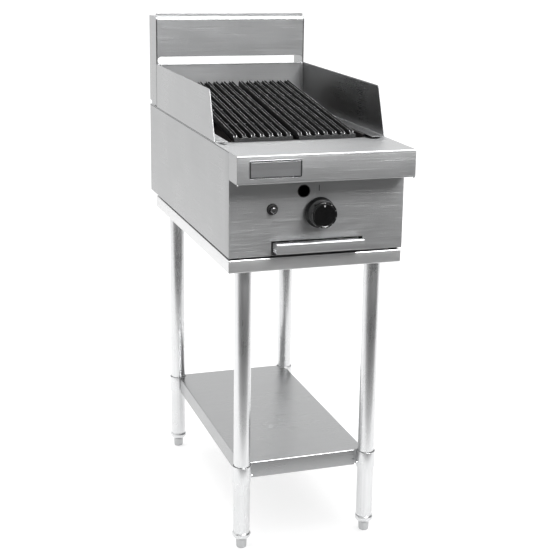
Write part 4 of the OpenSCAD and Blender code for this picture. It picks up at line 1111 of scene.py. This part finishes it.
class CHARGRILL_OT_stage(bpy.types.Operator):
    """Lay the pale floor, set the soft lights round it and place the camera"""

    bl_idname = "chargrill.stage"
    bl_label = "Floor, Lights and Camera"

    def execute(self, context):
        scene = context.scene
        self.floor(scene)
        self.room(scene)
        self.camera(scene)
        return {"FINISHED"}

    @staticmethod
    def sheet(scene, name, x, y, z, paint):
        """A large flat sheet, a grid of a few cells."""
        points = spread(np.linspace(*x, 9)[:, None], np.linspace(*y, 9)[None, :], z)
        mesh = bpy.data.meshes.new(name)
        mesh.from_pydata(points.tolist(), [], web(9, 9)[:, ::-1].tolist())
        mesh.materials.append(paint)
        sheet = bpy.data.objects.new(name, mesh)
        scene.collection.objects.link(sheet)
        return sheet

    def floor(self, scene):
        """The pale floor, and in front of it a dark card that only reflections see, fading in away from the object."""
        paint = Finish("floor_paint", Metallic=0.0, Specular_IOR_Level=0.2)
        cloud = paint.noise(paint.at(), 1.5, 2.0)
        paint.set(Base_Color=paint.blend(cloud, (0.54, 0.54, 0.54), (0.56, 0.56, 0.56)), Roughness=0.8,
                  Emission_Color=(1, 1, 1), Emission_Strength=FLOOR_GLOW)
        self.sheet(scene, "floor", (-40, 40), (-40, 40), -0.0002, paint.material)
        card = Finish("card_paint", Metallic=0.0, Base_Color=(0, 0, 0), Specular_IOR_Level=0.0, Emission_Strength=1.0)
        away = card.easing(card.node("ShaderNodeSeparateXYZ", None, {0: card.at()}, 1), *CARD_FADE)
        card.set(Emission_Color=card.blend(away, (CARD_NEAR,) * 3, (CARD_FAR,) * 3))
        card = self.sheet(scene, "dark_card", (-8, 8), (-14, CARD_FADE[0]), 0.001, card.material)
        card.visible_camera = card.visible_diffuse = card.visible_shadow = False

    @staticmethod
    def room(scene):
        """World brightness by direction (x, y, z), and three large area lights.

        Behind it is bright; in front it is dark below eye level and bright above; to the right it is dark.
        """
        world = bpy.data.worlds.new("studio")
        scene.world = world
        sky = Finish("studio", world)
        x, y, z = (sky.node("ShaderNodeSeparateXYZ", None, {0: sky.node("ShaderNodeTexCoord")}, k) for k in range(3))
        front = sky.easing(y, 0.30, -0.20)
        above = sky.easing(z, 0.12, 0.5)
        right = sky.easing(x, 0.42, 0.75) * sky.easing(y, 0.75, 0.35) * sky.easing(z, 0.75, 0.35)
        glow = SKY_BACK + front * (SKY_FRONT * above + SKY_LOW - SKY_BACK)
        glow = glow * (1 - right * 0.86)
        sky.set(Color=sky.node("ShaderNodeCombineXYZ", None, {0: glow, 1: glow, 2: glow}), Strength=1.0)
        for name, place, aim, size, power in LAMPS:
            data = bpy.data.lights.new(name, "AREA")
            data.shape, data.size, data.energy = "DISK", size, power
            light = bpy.data.objects.new(name, data)
            light.location = place
            light.visible_diffuse = name != "front_light"
            light.rotation_euler = (Vector(aim) - Vector(place)).to_track_quat("-Z", "Y").to_euler()
            scene.collection.objects.link(light)

    @staticmethod
    def camera(scene):
        """The camera: its axes are columns right, up and back, from a turn, a dip and a small roll."""
        turn, dip, roll = (math.radians(degrees) for degrees in CAMERA_TURNS)
        ahead = np.array([math.sin(turn) * math.cos(dip), math.cos(turn) * math.cos(dip), -math.sin(dip)])
        level = np.array([math.cos(turn), -math.sin(turn), 0.0])
        down = np.cross(ahead, level)
        right = math.cos(roll) * level + math.sin(roll) * down
        low = -math.sin(roll) * level + math.cos(roll) * down
        data = bpy.data.cameras.new("camera")
        data.lens, data.sensor_width = CAMERA_LENS, 36.0
        data.shift_x, data.shift_y = CAMERA_SHIFT
        camera = bpy.data.objects.new("camera", data)
        scene.collection.objects.link(camera)
        pose = np.eye(4)
        pose[:3, 0], pose[:3, 1], pose[:3, 2], pose[:3, 3] = right, -low, -ahead, CAMERA_PLACE
        camera.matrix_world = Matrix(pose.tolist())
        scene.camera = camera
        scene.view_settings.view_transform = "Standard"


class CHARGRILL_OT_carried(bpy.types.Operator):
    """Give every CAD part that still shows its own procedural finish"""

    bl_idname = "chargrill.carried"
    bl_label = "Finishes of the CAD Parts"

    def execute(self, context):
        for node, obj in frame["nodes"].items():
            if not obj.hide_render:
                obj.data.materials.clear()
                obj.data.materials.append(finish(CARRIED_FINISH.get(node, SLOT_OF[node])))
        return {"FINISHED"}


class CHARGRILL_PT_panel(bpy.types.Panel):
    """The sizes, colours and pieces of the chargrill"""

    bl_idname = "CHARGRILL_PT_panel"
    bl_label = "Chargrill"
    bl_space_type = "VIEW_3D"
    bl_region_type = "UI"
    bl_category = "Chargrill"

    def draw(self, context):
        for group in (context.scene.chargrill_sizes, context.scene.chargrill_colours):
            for name in group.__annotations__:
                self.layout.prop(group, name)
        for step in STEPS:
            self.layout.operator(step.bl_idname)


STEPS = (CHARGRILL_OT_stage, CHARGRILL_OT_legs, CHARGRILL_OT_feet, CHARGRILL_OT_deck, CHARGRILL_OT_undershelf,
         CHARGRILL_OT_side_panels, CHARGRILL_OT_control_panel, CHARGRILL_OT_hob, CHARGRILL_OT_nameplate,
         CHARGRILL_OT_side_guards, CHARGRILL_OT_splashback, CHARGRILL_OT_grates, CHARGRILL_OT_knob,
         CHARGRILL_OT_igniter, CHARGRILL_OT_tray, CHARGRILL_OT_carried)
CLASSES = (ChargrillSizes, ChargrillColours, *STEPS, CHARGRILL_PT_panel)


def register():
    """Registers the classes and hangs the property groups on the scene."""
    for item in CLASSES:
        bpy.utils.register_class(item)
    bpy.types.Scene.chargrill_sizes = bpy.props.PointerProperty(type=ChargrillSizes)
    bpy.types.Scene.chargrill_colours = bpy.props.PointerProperty(type=ChargrillColours)


def unregister():
    """Takes the property groups off the scene and unregisters the classes."""
    del bpy.types.Scene.chargrill_colours
    del bpy.types.Scene.chargrill_sizes
    for item in reversed(CLASSES):
        bpy.utils.unregister_class(item)


def main():
    """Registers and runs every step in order."""
    register()
    for step in STEPS:
        group, name = step.bl_idname.split(".")
        done = getattr(getattr(bpy.ops, group), name)()
        if "FINISHED" not in done:
            raise RuntimeError(f"{step.bl_label} was not finished")


if __name__ == "__main__":
    main()
